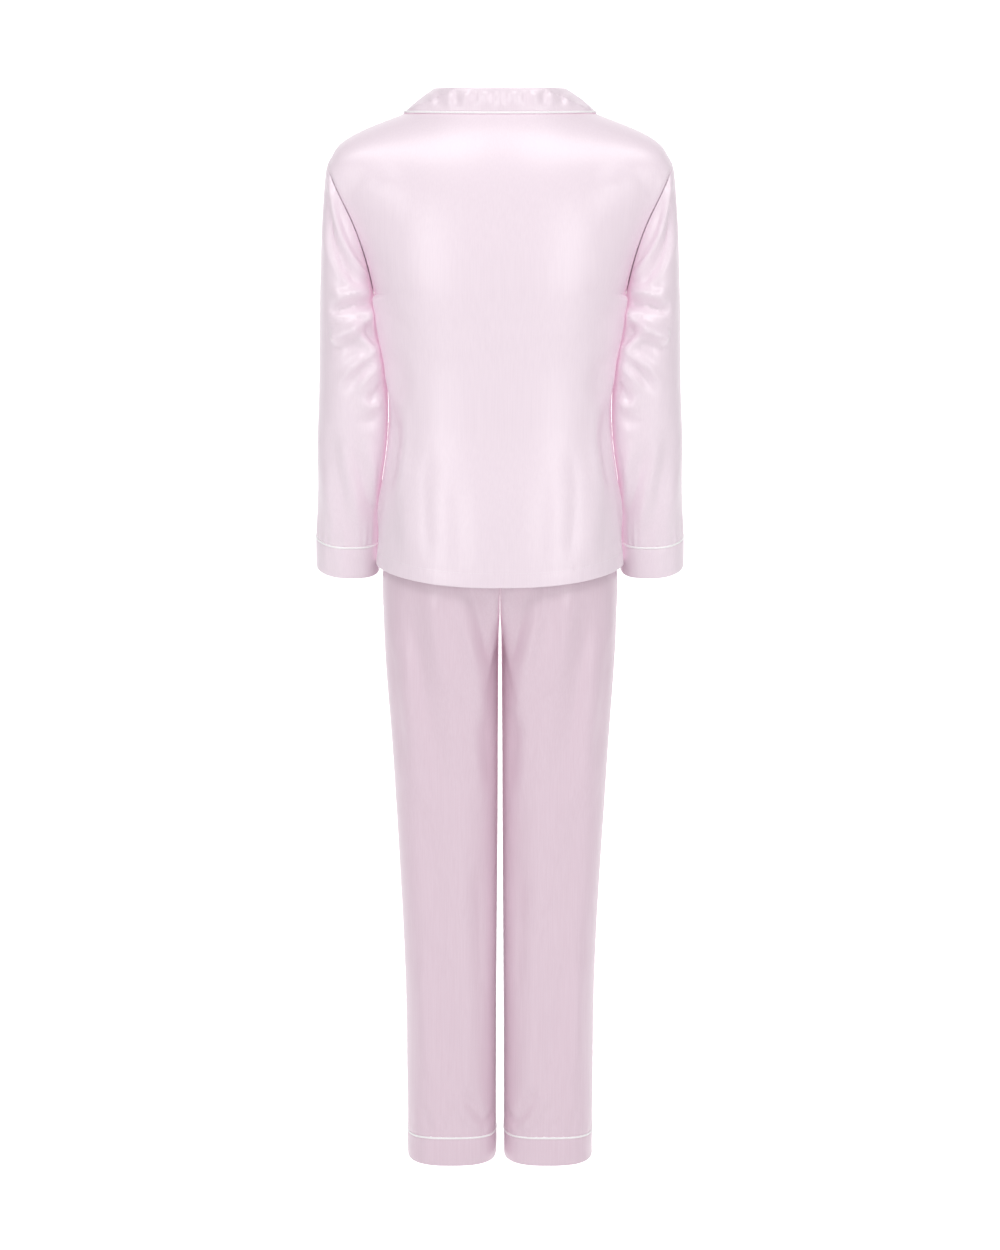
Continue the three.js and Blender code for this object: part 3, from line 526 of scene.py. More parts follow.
@dataclass(frozen=True)
class Stitches:
    """A row of sewn stitches: short raised dashes of thread."""

    length: float = 2.6
    pitch: float = 3.3
    radius: float = 0.3
    sides: int = 6
    rings: int = 5

    def make(self, name: str, line: Array, out: Array) -> bpy.types.Object:
        """Lay stitches along a line on the cloth.

        Args:
            name: The object's name.
            line: Points of the line.
            out: Outward directions of the cloth there.

        Returns:
            The object, all its stitches in one.
        """
        run = lengths(line, 0)
        starts = np.arange(0, run[-1] - self.length, self.pitch)
        share = np.linspace(0, 1, self.rings)
        where = starts[:, None] + share * self.length
        follow = lambda values: np.stack([np.interp(where, run, values[:, k]) for k in range(3)], axis=-1)
        middle, up = follow(line), unit(follow(out))
        middle = middle + up * (0.34 * np.sin(share * math.pi) - 0.12)[:, None]
        along = np.gradient(middle, axis=1)
        across = unit(np.cross(along, up))
        size = self.radius * np.sqrt(np.clip(np.sin(share * math.pi), 0.15, 1))
        points = middle[:, :, None] + circle(up, across, self.sides) * size[:, None, None]
        first = (np.arange(len(starts)) * self.rings * self.sides)[:, None, None]
        return make_object(name, points.reshape(-1, 3), [
            (first + group).reshape(-1, group.shape[1])
            for group in tube_faces(self.rings, self.sides)
        ])


# Finishes


def linear(colour: str) -> tuple[float, float, float, float]:
    """Turn an sRGB hex colour to linear RGBA."""
    shares = [int(colour[i : i + 2], 16) / 255 for i in (1, 3, 5)]
    return (*(s / 12.92 if s <= 0.04045 else ((s + 0.055) / 1.055) ** 2.4 for s in shares), 1.0)


def add_node(
    tree: bpy.types.NodeTree, kind: str, settings: dict[str, object], inputs: dict[str, object]
) -> bpy.types.Node:
    """Add a node with its settings and links.

    Args:
        tree: The material's or world's nodes.
        kind: The node's type name.
        settings: Values of the node's own properties.
        inputs: For each input, a value or the socket that feeds it.

    Returns:
        The node.
    """
    node = tree.nodes.new(kind)
    for key, value in settings.items():
        setattr(node, key, value)
    for key, value in inputs.items():
        socket = node.inputs[int(key)] if key.isdigit() else node.inputs[key]
        if isinstance(value, bpy.types.NodeSocket):
            tree.links.new(value, socket)
        else:
            socket.default_value = value
    return node


def empty_material(name: str) -> bpy.types.Material:
    """A new material with no nodes."""
    material = bpy.data.materials.new(name)
    material.use_nodes = True
    material.node_tree.nodes.clear()
    return material


@dataclass(frozen=True)
class Satin:
    """Polyester charmeuse, woven with long warp floats on its face.

    The floats run down the cloth, so light slides over it in soft broad patches, and the
    slightly uneven yarn shows as faint streaks from top to bottom.
    """

    name: str
    colour: str
    shade: str
    roughness: float = 0.3
    sheen: float = 0.2
    anisotropic: float = 0.35
    # Yarns are 0.1 mm apart, too fine to show, so streaks are drawn 1.6 mm wide
    yarn: float = 1.6
    streak: float = 90.0
    # Interlacings lie 0.5 mm apart and are drawn at 0.9 mm
    weave: float = 0.9
    groove: float = 12.0  # widest groove that gets the painted glow
    # strength of the painted glow in the deepest grooves
    painted_groove_glow: float = 0.17
    glow: str = "#ecc6d8"  # colour of the painted glow in seams and grooves

    def make(self) -> bpy.types.Material:
        """Make the material."""
        material = empty_material(self.name)
        tree = material.node_tree
        place = add_node(tree, "ShaderNodeTexCoord", {}, {}).outputs["Object"]
        fine, long = 1000 / self.yarn, 1000 / self.streak
        streaks = add_node(tree, "ShaderNodeTexNoise", {}, {
            "Vector": add_node(tree, "ShaderNodeMapping", {}, {
                "Vector": place, "Scale": (fine, fine, long),
            }).outputs[0],
            "Scale": 1.0, "Detail": 3.0, "Roughness": 0.6,
        }).outputs["Fac"]
        weave = add_node(tree, "ShaderNodeTexNoise", {}, {
            "Vector": add_node(tree, "ShaderNodeMapping", {}, {
                "Vector": place, "Scale": (1000 / self.weave,) * 2 + (1000 / (3 * self.weave),),
            }).outputs[0],
            "Scale": 1.0, "Detail": 1.0,
        }).outputs["Fac"]
        tone = add_node(tree, "ShaderNodeMapRange", {}, {
            "Value": streaks, "From Min": 0.32, "From Max": 0.68, "To Min": 0.0, "To Max": 0.5,
        }).outputs[0]
        colour = add_node(tree, "ShaderNodeMix", {"data_type": "RGBA"}, {
            "0": tone, "6": linear(self.colour), "7": linear(self.shade),
        }).outputs[2]
        height = add_node(tree, "ShaderNodeMath", {"operation": "MULTIPLY_ADD"}, {
            "0": streaks, "1": 0.7, "2": weave,
        }).outputs[0]
        bump = add_node(tree, "ShaderNodeBump", {}, {
            "Height": height, "Strength": 0.12, "Distance": 0.0003,
        }).outputs[0]
        # Painted light: the cloth glows in its seams and narrow grooves, most where they are narrowest and
        # deepest, to lighten their shade
        groove = add_node(tree, "ShaderNodeAmbientOcclusion", {"samples": 8}, {
            "Distance": self.groove * MM,
        }).outputs["AO"]
        painted_groove_glow = add_node(tree, "ShaderNodeMapRange", {}, {
            "Value": groove, "From Min": 0.0, "From Max": 0.7, "To Min": self.painted_groove_glow, "To Max": 0.0,
        }).outputs[0]
        shader = add_node(tree, "ShaderNodeBsdfPrincipled", {}, {
            "Base Color": colour, "Roughness": self.roughness, "Normal": bump,
            "Emission Color": linear(self.glow), "Emission Strength": painted_groove_glow,
            "IOR": 1.5, "Specular IOR Level": 0.95, "Anisotropic": self.anisotropic,
            "Sheen Weight": self.sheen, "Sheen Roughness": 0.35,
            "Sheen Tint": linear("#fff4fa"),
        })
        add_node(tree, "ShaderNodeOutputMaterial", {}, {"Surface": shader.outputs[0]})
        return material


@dataclass(frozen=True)
class PearlPlastic:
    """Moulded polyester resin with a pearl pigment: glossy, with soft milky clouds in it."""

    name: str
    colour: str
    cloud: str
    swirl: float = 3.0  # size of a pearl cloud

    def make(self) -> bpy.types.Material:
        """Make the material."""
        material = empty_material(self.name)
        tree = material.node_tree
        place = add_node(tree, "ShaderNodeTexCoord", {}, {}).outputs["Object"]
        clouds = add_node(tree, "ShaderNodeTexNoise", {}, {
            "Vector": place, "Scale": 1000 / self.swirl, "Detail": 3.0, "Distortion": 1.5,
        }).outputs["Fac"]
        colour = add_node(tree, "ShaderNodeMix", {"data_type": "RGBA"}, {
            "0": clouds, "6": linear(self.colour), "7": linear(self.cloud),
        }).outputs[2]
        shader = add_node(tree, "ShaderNodeBsdfPrincipled", {}, {
            "Base Color": colour, "Roughness": 0.18, "IOR": 1.55,
            "Coat Weight": 0.4, "Coat Roughness": 0.08,
        })
        add_node(tree, "ShaderNodeOutputMaterial", {}, {"Surface": shader.outputs[0]})
        return material


@dataclass(frozen=True)
class Thread:
    """Spun polyester sewing thread: matt, with a fine twist."""

    name: str
    colour: str
    twist: float = 0.6  # length of one turn of the ply

    def make(self) -> bpy.types.Material:
        """Make the material."""
        material = empty_material(self.name)
        tree = material.node_tree
        place = add_node(tree, "ShaderNodeTexCoord", {}, {}).outputs["Object"]
        ply = add_node(tree, "ShaderNodeTexWave", {"bands_direction": "DIAGONAL"}, {
            "Vector": place, "Scale": 1000 / self.twist / 20,
        }).outputs["Fac"]
        bump = add_node(tree, "ShaderNodeBump", {}, {
            "Height": ply, "Strength": 0.3, "Distance": 0.0001,
        }).outputs[0]
        shader = add_node(tree, "ShaderNodeBsdfPrincipled", {}, {
            "Base Color": linear(self.colour), "Roughness": 0.6, "Normal": bump,
            "Sheen Weight": 0.2,
        })
        add_node(tree, "ShaderNodeOutputMaterial", {}, {"Surface": shader.outputs[0]})
        return material


@dataclass(frozen=True)
class StudioPaper:
    """White background paper, lit from behind where it rises after the set.

    There it shows as even white. Elsewhere it is plain pale paper, so that the lamps over
    the set light it and not the floor.
    """

    name: str = "studio_paper"
    colour: str = "#ffffff"
    glow: float = 0.75
    bounce: float = 0.6  # share of the glow that reaches the set
    # In metres: the glow fades in towards the wall, and fades out to both sides
    glow_from: tuple[float, float] = (-0.1, 0.2)
    glow_to: tuple[float, float] = (2.3, 3.4)

    def make(self) -> bpy.types.Material:
        """Make the material."""
        material = empty_material(self.name)
        tree = material.node_tree
        place = add_node(tree, "ShaderNodeSeparateXYZ", {}, {
            "Vector": add_node(tree, "ShaderNodeTexCoord", {}, {}).outputs["Object"],
        }).outputs
        aside = add_node(tree, "ShaderNodeMath", {"operation": "ABSOLUTE"}, {"0": place["X"]})
        behind = add_node(tree, "ShaderNodeMapRange", {}, {
            "Value": place["Y"], "From Min": self.glow_from[0], "From Max": self.glow_from[1],
            "To Min": 0.0, "To Max": self.glow,
        })
        middle = add_node(tree, "ShaderNodeMapRange", {}, {
            "Value": aside.outputs[0], "From Min": self.glow_to[0], "From Max": self.glow_to[1],
            "To Min": 1.0, "To Max": 0.0,
        })
        wide = add_node(tree, "ShaderNodeMath", {"operation": "MULTIPLY"}, {
            "0": behind.outputs[0], "1": middle.outputs[0],
        })
        seen = add_node(tree, "ShaderNodeMapRange", {}, {
            "Value": add_node(tree, "ShaderNodeLightPath", {}, {}).outputs["Is Camera Ray"],
            "To Min": self.bounce, "To Max": 1.0,
        })
        glow = add_node(tree, "ShaderNodeMath", {"operation": "MULTIPLY"}, {
            "0": wide.outputs[0], "1": seen.outputs[0],
        })
        shader = add_node(tree, "ShaderNodeBsdfPrincipled", {}, {
            "Base Color": linear(self.colour), "Roughness": 0.9,
            "Emission Color": linear(self.colour), "Emission Strength": glow.outputs[0],
        })
        # Clear from behind, so that the set's front can be seen through the wall
        sides = add_node(tree, "ShaderNodeMixShader", {}, {
            "0": add_node(tree, "ShaderNodeNewGeometry", {}, {}).outputs["Backfacing"],
            "1": shader.outputs[0],
            "2": add_node(tree, "ShaderNodeBsdfTransparent", {}, {}).outputs[0],
        })
        add_node(tree, "ShaderNodeOutputMaterial", {}, {"Surface": sides.outputs[0]})
        return material


class Finish(Enum):
    """The set's finishes."""

    SHIRT = Satin("shirt_charmeuse", "#f6e6f0", "#eedde8")
    TROUSERS = Satin("trouser_charmeuse", "#e8d1de", "#dfc5d3")
    PIPING = Satin("piping_satin", "#ffffff", "#f8f2f6", roughness=0.42, anisotropic=0.0)
    BUTTON = PearlPlastic("pearl_button_resin", "#f6eff3", "#ffffff")
    THREAD = Thread("sewing_thread", "#f7eef4")
    PAPER = StudioPaper()

    def material(self) -> bpy.types.Material:
        """The finish's material, made once."""
        return bpy.data.materials.get(self.value.name) or self.value.make()


def cut_area(cut: tuple[float, float], share: float) -> float:
    """Area in square metres of a piece that fills a share of the rectangle it is cut from."""
    return round(share * cut[0] * cut[1], 4)


def dress(piece: bpy.types.Object, finish: Finish, slot: str, *nodes: str) -> bpy.types.Object:
    """Give a piece its material and its body, and hide the solids it stands for.

    Args:
        piece: The piece.
        finish: What it is made of.
        slot: Not used.
        nodes: The solids it stands for.

    Returns:
        The piece.
    """
    piece.data.materials.append(finish.material())
    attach(piece, "root")
    if nodes:
        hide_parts(*nodes)
    LOG.info("%s: %d faces", piece.name, len(piece.data.polygons))
    return piece


# The shirt


@dataclass
class ShirtForm:
    """The form the shirt takes as worn.

    Its surface has two numbers. u runs round from 0 at centre back over 1 at a side seam to 2
    at centre front, and below 0 on the wearer's left. level runs up from 0 at the hem over 1
    at the armpits to 2 at the shoulder seams. A column is u counted from the middle.
    """

    armpit_z: float = -250
    hem_side_z: float = -613
    hem_drop: tuple[float, float] = (17, 12)  # at centre back and front
    squareness: float = 2.5
    arm_squareness: float = 3.4  # of a sleeve's inner half, which lies against the body
    neck_column: float = 0.42
    tip_column: float = 0.86
    neck_point: tuple[float, float, float] = (82, 6, 4)
    neck_depth: float = 56
    rise_pull: float = 350
    shoulder_pull: float = 230
    overlap: float = 15  # each front passes the middle by this much
    lap_rise: float = 2.5
    lap_fade: float = 40
    break_z: float = -165  # the roll lines begin here
    gorge_z: float = -47
    lapel_tip: tuple[float, float] = (116, -92)
    notch: float = 0.53  # share of a lapel's upper edge that the collar is sewn to
    piping_from: float = 0.3  # share of the free edge beside the notch that has no piping
    sections: Table = field(default_factory=lambda: Table(  # height, side, back, front
        (-640, 168, 128, 119), (-613, 167, 127, 119), (-560, 162.5, 123, 118),
        (-517, 158.5, 117, 116), (-480, 154, 109, 113), (-452, 151, 104, 112),
        (-420, 149, 102, 113), (-350, 151.5, 103, 119), (-300, 160, 107, 124),
        (-250, 168, 111, 125), (-200, 182, 113, 120),
    ))
    crown_line: Table = field(default_factory=lambda: Table(  # column, x, y, z
        (-0.21, -41, 6, 22), (0, 0, 6, 30), (0.21, 41, 6, 22), (0.42, 82, 6, 4),
        (0.54, 124, 6, -13), (0.7, 184, 4, -37), (0.79, 213, 3, -55), (0.86, 229, 2, -80),
    ))
    armhole: Table = field(default_factory=lambda: Table(  # rise, column
        (0, 1), (0.05, 0.935), (0.14, 0.9), (0.28, 0.888), (0.45, 0.888), (0.6, 0.884),
        (0.75, 0.876), (0.87, 0.868), (1, 0.86),
    ))
    arms: Table = field(default_factory=lambda: Table(  # height, centre, fore, wide, deep
        (-630, 208, 50, 43.5, 43), (-582, 207.6, 42, 43.5, 43), (-540, 205.4, 32, 43.3, 45.5),
        (-500, 203.2, 21, 44, 48), (-450, 199.4, 10, 46.4, 51), (-400, 197.4, 4, 46.8, 55),
        (-350, 198, 1, 44.6, 59), (-300, 202, 0, 39.4, 61), (-270, 204, 0, 37, 61),
        (-250, 205.5, 0, 36.2, 61),
    ))

    def section(self, z: Array, u: Array) -> Array:
        """Points of the body at heights z."""
        size = self.sections.at(z)
        across, deep = np.sin(u * math.pi / 2), np.cos(u * math.pi / 2)
        reach = np.where(deep > 0, size[..., 1], size[..., 2])
        rounding = 2 / self.squareness
        return vectors(size[..., 0] * power(across, rounding), -reach * power(deep, rounding), z)

    def hem(self, u: Array) -> Array:
        """Heights of the hem line."""
        deep = np.cos(u * math.pi / 2)
        return self.hem_side_z - np.where(deep > 0, *self.hem_drop) * deep**2

    @staticmethod
    def column_of(u: Array) -> Array:
        """Column at u, counted from centre back or centre front."""
        return np.where(np.abs(u) <= 1, np.abs(u), 2 - np.abs(u))

    def crown(self, u: Array) -> Array:
        """The line along the shoulder seams and across the neck."""
        seam = self.crown_line.at(np.minimum(self.column_of(u), self.tip_column))
        return seam * vectors(np.where(u < 0, -1, 1), 1, 1)

    def crown_pull(self, u: Array) -> Array:
        """How the cloth arrives at that line."""
        past = np.maximum(self.column_of(u) - self.tip_column, 0)
        past = past / (1 - self.tip_column) * math.pi / 2
        over = np.where(np.abs(u) <= 1, 1, -1) * self.shoulder_pull
        return vectors(0, over * np.cos(past), self.shoulder_pull * np.sin(past))

    def surface(self, u: Array, level: Array) -> Array:
        """The shirt's outer face.

        Args:
            u: Where round the body.
            level: Where up it.

        Returns:
            Points.
        """
        u, level = np.broadcast_arrays(np.asarray(u, float), np.asarray(level, float))
        low = self.section(mix(self.hem(u), self.armpit_z, np.minimum(level, 1)), u)
        armpit = np.full(u.shape, float(self.armpit_z))
        base = self.section(armpit, u)
        rise = (base - self.section(armpit - 1, u)) * self.rise_pull
        share = np.maximum(level - 1, 0)[..., None]
        high = hermite(base, rise, self.crown(u), self.crown_pull(u), share)
        return np.where((level <= 1)[..., None], low, high)

    def place(
        self, hand: Hand, face: Face, column: Array, level: Array, lift: float = 0
    ) -> tuple[Array, Array]:
        """Places on the shirt.

        Args:
            hand: The wearer's side.
            face: Back or front.
            column: Counted from the middle.
            level: Where up the shirt.
            lift: How far outside the cloth.

        Returns:
            Points, and their outward directions.
        """
        u = hand * (column if face is Face.BACK else 2 - column)
        at = self.surface(u, level)
        out = normal_of(self.surface, u, np.minimum(level, 1.997))
        if face is Face.FRONT and hand is Hand.RIGHT:
            lift = lift + self.lap_rise * (
                1 - smooth(at[..., 0], self.lap_fade / 2, self.lap_fade)
            )[..., None]
        return at + out * lift, out

    def face_place(
        self, hand: Hand, face: Face, x: Array, z: Array, lift: Array = 0
    ) -> tuple[Array, Array]:
        """Places on the shirt that lie at x and z, seen from straight before or behind.

        Args:
            hand: The wearer's side.
            face: Back or front.
            x: Distance from the middle.
            z: Height.
            lift: How far outside the cloth.

        Returns:
            Points, and their outward directions.
        """
        x, z = np.broadcast_arrays(np.asarray(x, float), np.asarray(z, float))
        seen = lambda column, level: self.surface(
            column if face is Face.BACK else 2 - column, level
        )
        column = self.neck_column * x / self.neck_point[0]
        level = np.full(x.shape, 1.7)
        step = 0.001
        for _ in range(14):
            at = seen(column, level)
            a = (seen(column + step, level) - at) / step
            b = (seen(column, level + step) - at) / step
            det = a[..., 0] * b[..., 2] - a[..., 2] * b[..., 0]
            go_x, go_z = x - at[..., 0], z - at[..., 2]
            column = column + np.clip((go_x * b[..., 2] - go_z * b[..., 0]) / det, -0.1, 0.1)
            level = level + np.clip((go_z * a[..., 0] - go_x * a[..., 2]) / det, -0.1, 0.1)
            level = np.minimum(level, 1.996)
        return self.place(hand, face, column, level, lift)

    def armhole_column(self, level: Array) -> Array:
        """Column of the armhole seam, or of the side seam below it."""
        return np.where(level <= 1, 1, self.armhole.at(np.maximum(level - 1, 0))[..., 0])

    def back_top(self, column: Array) -> Array:
        """Level at which a column of the back ends, at the neckline or shoulder seam."""
        out = np.minimum(np.abs(column) / self.neck_column, 1)
        y = self.neck_point[1] - self.neck_depth * np.sqrt(1 - out**2)
        inside = search(
            np.ones_like(out), 2 * np.ones_like(out),
            lambda level: self.surface(column, level)[..., 1] < y,
        )
        return np.where(out >= 1, 2, inside)

    def front_edge(self, level: Array) -> Array:
        """Column of a front's free edge: past the middle, then along the roll line."""
        past = search(
            np.zeros_like(level), np.full_like(level, -0.3),
            lambda column: self.surface(2 - column, level)[..., 0] > -self.overlap,
        )

        def short_of_roll(column: Array) -> Array:
            at = self.surface(2 - column, level)
            return at[..., 0] < self.roll_x(at[..., 2])

        rolled = search(past, np.full_like(level, self.neck_column), short_of_roll)
        below = self.surface(np.full_like(level, 2.0), level)[..., 2] <= self.break_z
        return np.where(below, past, rolled)

    def roll_x(self, z: Array) -> Array:
        """How far the roll line lies from the middle at height z, seen from the front."""
        share = (z - self.break_z) / (self.neck_point[2] - self.break_z)
        return mix(-self.overlap, self.neck_point[0], share)


def beside_edge(at: Array, before: Array, out: Array) -> Array:
    """Directions off a free edge of cloth, in its plane, from points just inside it."""
    off = unit(at - before)
    return unit(off - out * dot(off, out))


def edge_cord(name: str, edges: Sequence[tuple[Array, Array, Array]]) -> bpy.types.Object:
    """Make a piping cord along free edges, rounding the corners between them.

    Args:
        name: The object's name.
        edges: For each edge its points, the directions off it, and the outward directions.

    Returns:
        The cord.
    """
    at, off, out = [], [], []
    for i, (points, away, facing_out) in enumerate(edges):
        at.append(points)
        off.append(away)
        out.append(facing_out)
        if i + 1 < len(edges):
            share = np.linspace(0, 1, 7)[1:-1, None]
            at.append(np.repeat(points[-1:], len(share), axis=0))
            off.append(unit(mix(away[-1], edges[i + 1][1][0], share)))
            out.append(np.repeat(facing_out[-1:], len(share), axis=0))
    at, off, out = (np.concatenate(parts) for parts in (at, off, out))
    path = at + off * (PIPING_RADIUS + SEAM_GAP) - out * 0.25
    return cord(name, path, out, PIPING_RADIUS)


@dataclass
class ShirtBody:
    """The back and the two fronts, with their turned hem."""

    form: ShirtForm
    thick: float = 1.0
    facing_thick: float = 1.6  # the fronts are lined with their facings
    hem_depth: float = 18.7  # of the turned hem, up to its stitching
    lap_column: float = 2.2
    side_swell: float = 10.0
    side_from: float = 90  # the swell lies further out than this
    swell_heights: tuple[float, ...] = (-594, -542, -255, -250.5)
    wedge: float = 0.6  # share of the swell that is missing in the dark wedge at the waist
    wedge_heights: tuple[float, ...] = (-535, -490, -400, -350)
    sleeve_gap: float = 1.0
    armpit_gap: float = 0.6
    armpit_heights: tuple[float, float] = (-300, -262)
    cuff_gap: float = 1.8
    cuff_heights: tuple[float, float] = (-580, -560)
    cuff_draw: float = 4.0  # the side draws in by this much at most to clear the cuff
    rows: tuple[int, int] = (96, 104)  # below and above the armpits
    neck_columns: int = 40
    shoulder_columns: int = 44
    front_columns: tuple[int, int] = (10, 66)
    back_cut: tuple[float, float] = (0.505, 0.69)
    front_cut: tuple[float, float] = (0.275, 0.66)
    creases: tuple[Crease, ...] = (
        # The waist sinks in beside the sleeves, and long soft folds run on to the hem
        Crease(((149, -372), (142, -430), (146, -478), (158, -530)), 9, 8.0, fade=0.35),
        Crease(((146, -318), (131, -362), (139, -398)), 11, 2.6),
        Crease(((132, -430), (136, -500), (130, -606)), 9, -1.6),
        Crease(((147, -500), (143, -550), (136, -612)), 9, 1.8),
        Crease(((120, -450), (121, -520), (112, -610)), 11, -1.4),
        Crease(((92, -430), (98, -520), (90, -618)), 13, 1.2),
        Crease(((60, -470), (55, -550), (58, -628)), 15, 0.9),
        Crease(((30, -500), (24, -570), (20, -629)), 15, -0.7),
        # Drag lines from the armpit, and the sheen over the shoulder blades
        Crease(((160, -262), (138, -282), (110, -300)), 11, 1.5),
        Crease(((163, -240), (140, -246), (112, -242)), 12, 1.1),
        Crease(((186, -98), (160, -110), (124, -92)), 20, -1.6),
        Crease(((176, -150), (150, -168), (120, -176)), 16, 1.0),
        # The front has similar ones
        Crease(((149, -376), (143, -430), (147, -480), (157, -528)), 9, 7.0, Face.FRONT, 0.35),
        Crease(((141, -330), (128, -378), (132, -410)), 12, 2.0, Face.FRONT),
        Crease(((136, -440), (134, -510), (126, -604)), 11, 2.0, Face.FRONT),
        Crease(((112, -446), (112, -530), (104, -612)), 12, -1.3, Face.FRONT),
        Crease(((80, -440), (86, -520), (76, -618)), 14, 1.1, Face.FRONT),
        Crease(((158, -258), (134, -276), (104, -286)), 11, 1.8, Face.FRONT),
        Crease(((165, -236), (142, -236), (116, -222)), 12, 1.4, Face.FRONT),
        Crease(((178, -132), (156, -158), (122, -172)), 15, 1.2, Face.FRONT),
        Crease(((34, -196), (58, -216), (88, -226)), 10, 0.8, Face.FRONT),
    )

    def levels(self) -> Array:
        """Levels of the rows, close together at the hem and in the lower armholes."""
        low = np.linspace(0.04, 1, self.rows[0])
        hem = np.array([0, 0.003, 0.008, 0.016, 0.027])
        high = 1 + np.linspace(0, 1, self.rows[1]) ** 1.25
        return np.concatenate([hem, low, high[1:-1], [1.985, 1.993, 1.998, 2]])

    def swell(self, at: Array, out: Array) -> Array:
        """How far the cloth stands out sideways to lie against a sleeve, or in to clear its cuff.

        Args:
            at: Points of the cloth.
            out: Their outward directions.

        Returns:
            Distances, of the grid's shape.
        """
        x, y, z = np.abs(at[..., 0]), at[..., 1], at[..., 2]
        arms = self.form.arms
        centre, fore, wide, deep = np.moveaxis(arms.at(np.clip(z, arms.keys[0], arms.keys[-1])), -1, 0)
        away = np.abs(y - fore) / deep
        square = self.form.arm_squareness
        sleeve = centre - wide * np.clip(1 - away**square, 0, 1) ** (1 / square)
        gap = mix(self.sleeve_gap, self.armpit_gap, smooth(z, *self.armpit_heights))
        room = np.clip(sleeve - gap - x, 0, self.side_swell) * between(z, *self.swell_heights)
        wedge = self.wedge * between(z, *self.wedge_heights) * (out[..., 1] < 0)
        outward = room * (1 - smooth(away, 0.45, 1.25)) * (1 - wedge)
        inward = np.clip(sleeve - self.cuff_gap - x, -self.cuff_draw, 0)
        inward = inward * (1 - smooth(z, *self.cuff_heights))
        return (outward + inward) * (x > self.side_from)

    def drape(self, at: Array, out: Array, sewn: Sewn) -> tuple[Array, Array]:
        """Give the smooth form its folds, seams and hem.

        Args:
            at: Points, by column and row.
            out: Their outward directions.
            sewn: Which borders are sewn.

        Returns:
            The cloth's points and outward directions.
        """
        x, z = at[..., 0], at[..., 2]
        depth = creased(at, out, self.creases) + sewn.depth(at)
        # Faint upright waves towards the hem
        low = 1 - smooth(z, -600, -380)
        depth = depth + 0.5 * low * np.sin(x / 17 + 0.7 * np.sin(z / 90)) * np.cos(x / 41)
        # The turned hem: a dip and small puckers at its stitches, two layers below them
        up = lengths(at, 1)
        ripple = uneven(lengths(at, 0), 2.1, 1.6, 23)
        edge = up - self.hem_depth
        depth = depth + 0.45 * np.exp(-((edge / 1.6) ** 2)) - 0.3 * (edge < 0)
        depth = depth + 0.16 * ripple * np.exp(-((edge / 5) ** 2))
        depth = depth + 0.12 * ripple * np.exp(-up / 5)
        moved = at - out * depth[..., None]
        moved[..., 0] += np.sign(x) * self.swell(at, out)
        return moved, facing(moved, out, False)

    def back_grid(self) -> tuple[Array, Array]:
        """Smooth grid of the back."""
        neck = np.sin(np.linspace(0, 1, self.neck_columns + 1) * math.pi / 2)
        beyond = spread(self.shoulder_columns, 150)[4:]
        inner = self.form.neck_column * np.concatenate([neck, np.ones(len(beyond))])
        beyond = np.concatenate([np.zeros(len(neck)), beyond])
        levels = self.levels()
        top = self.form.back_top(inner)
        halves = []
        for hand in (Hand.LEFT, Hand.RIGHT):
            column = mix(inner[:, None], self.form.armhole_column(levels)[None], beyond[:, None])
            under_neck = (beyond == 0)[:, None] & (levels > 1)[None]
            level = np.where(under_neck, 1 + (levels - 1)[None] * (top - 1)[:, None], levels[None])
            halves.append(self.form.place(hand, Face.BACK, column, level))
        (left, left_out), (right, right_out) = halves
        return (
            np.concatenate([left[:0:-1], right]), np.concatenate([left_out[:0:-1], right_out]),
        )

    def front_grid(self, hand: Hand) -> tuple[Array, Array]:
        """Smooth grid of one front, from its free edge to the side."""
        levels = self.levels()
        edge = self.form.front_edge(levels)
        lap = edge - self.lap_column * self.form.front_edge(np.zeros(1))
        near = np.linspace(0, 1, self.front_columns[0] + 1)[:-1, None]
        far = spread(self.front_columns[1], 150)[4:, None]
        side = self.form.armhole_column(levels)
        column = np.concatenate([mix(edge, lap, near), mix(lap, side, far)])
        return self.form.place(hand, Face.FRONT, column, np.broadcast_to(levels, column.shape))

    def hem_stitches(self, name: str, at: Array, out: Array) -> None:
        """Sew the line of stitches that holds the turned hem."""
        up = lengths(at, 1)
        row = np.argmax(up > self.hem_depth, axis=1)
        pick = np.arange(len(at))
        share = (self.hem_depth - up[pick, row - 1]) / (up[pick, row] - up[pick, row - 1])
        line = mix(at[pick, row - 1], at[pick, row], share[:, None])
        dress(Stitches().make(name, line, out[pick, row]), Finish.THREAD, "piping")

    def build(self) -> None:
        """Make the back and the fronts."""
        grids = {"shirt_back": (*self.back_grid(), Sewn(True, True, False, True), self.thick)}
        for hand in Hand:
            grids[f"shirt_front_{hand.word}"] = (
                *self.front_grid(hand), Sewn(False, True, False, True), self.facing_thick,
            )
        for name, (at, out, sewn, thick) in grids.items():
            at, out = self.drape(at, out, sewn)
            piece = dress(cloth(name + "_satin", at, out, thick), Finish.SHIRT, "shirt_satin", name)
            cut = self.back_cut if name == "shirt_back" else self.front_cut
            cut_area(cut, 0.8)
            self.hem_stitches(name + "_hem_stitches", at, out)


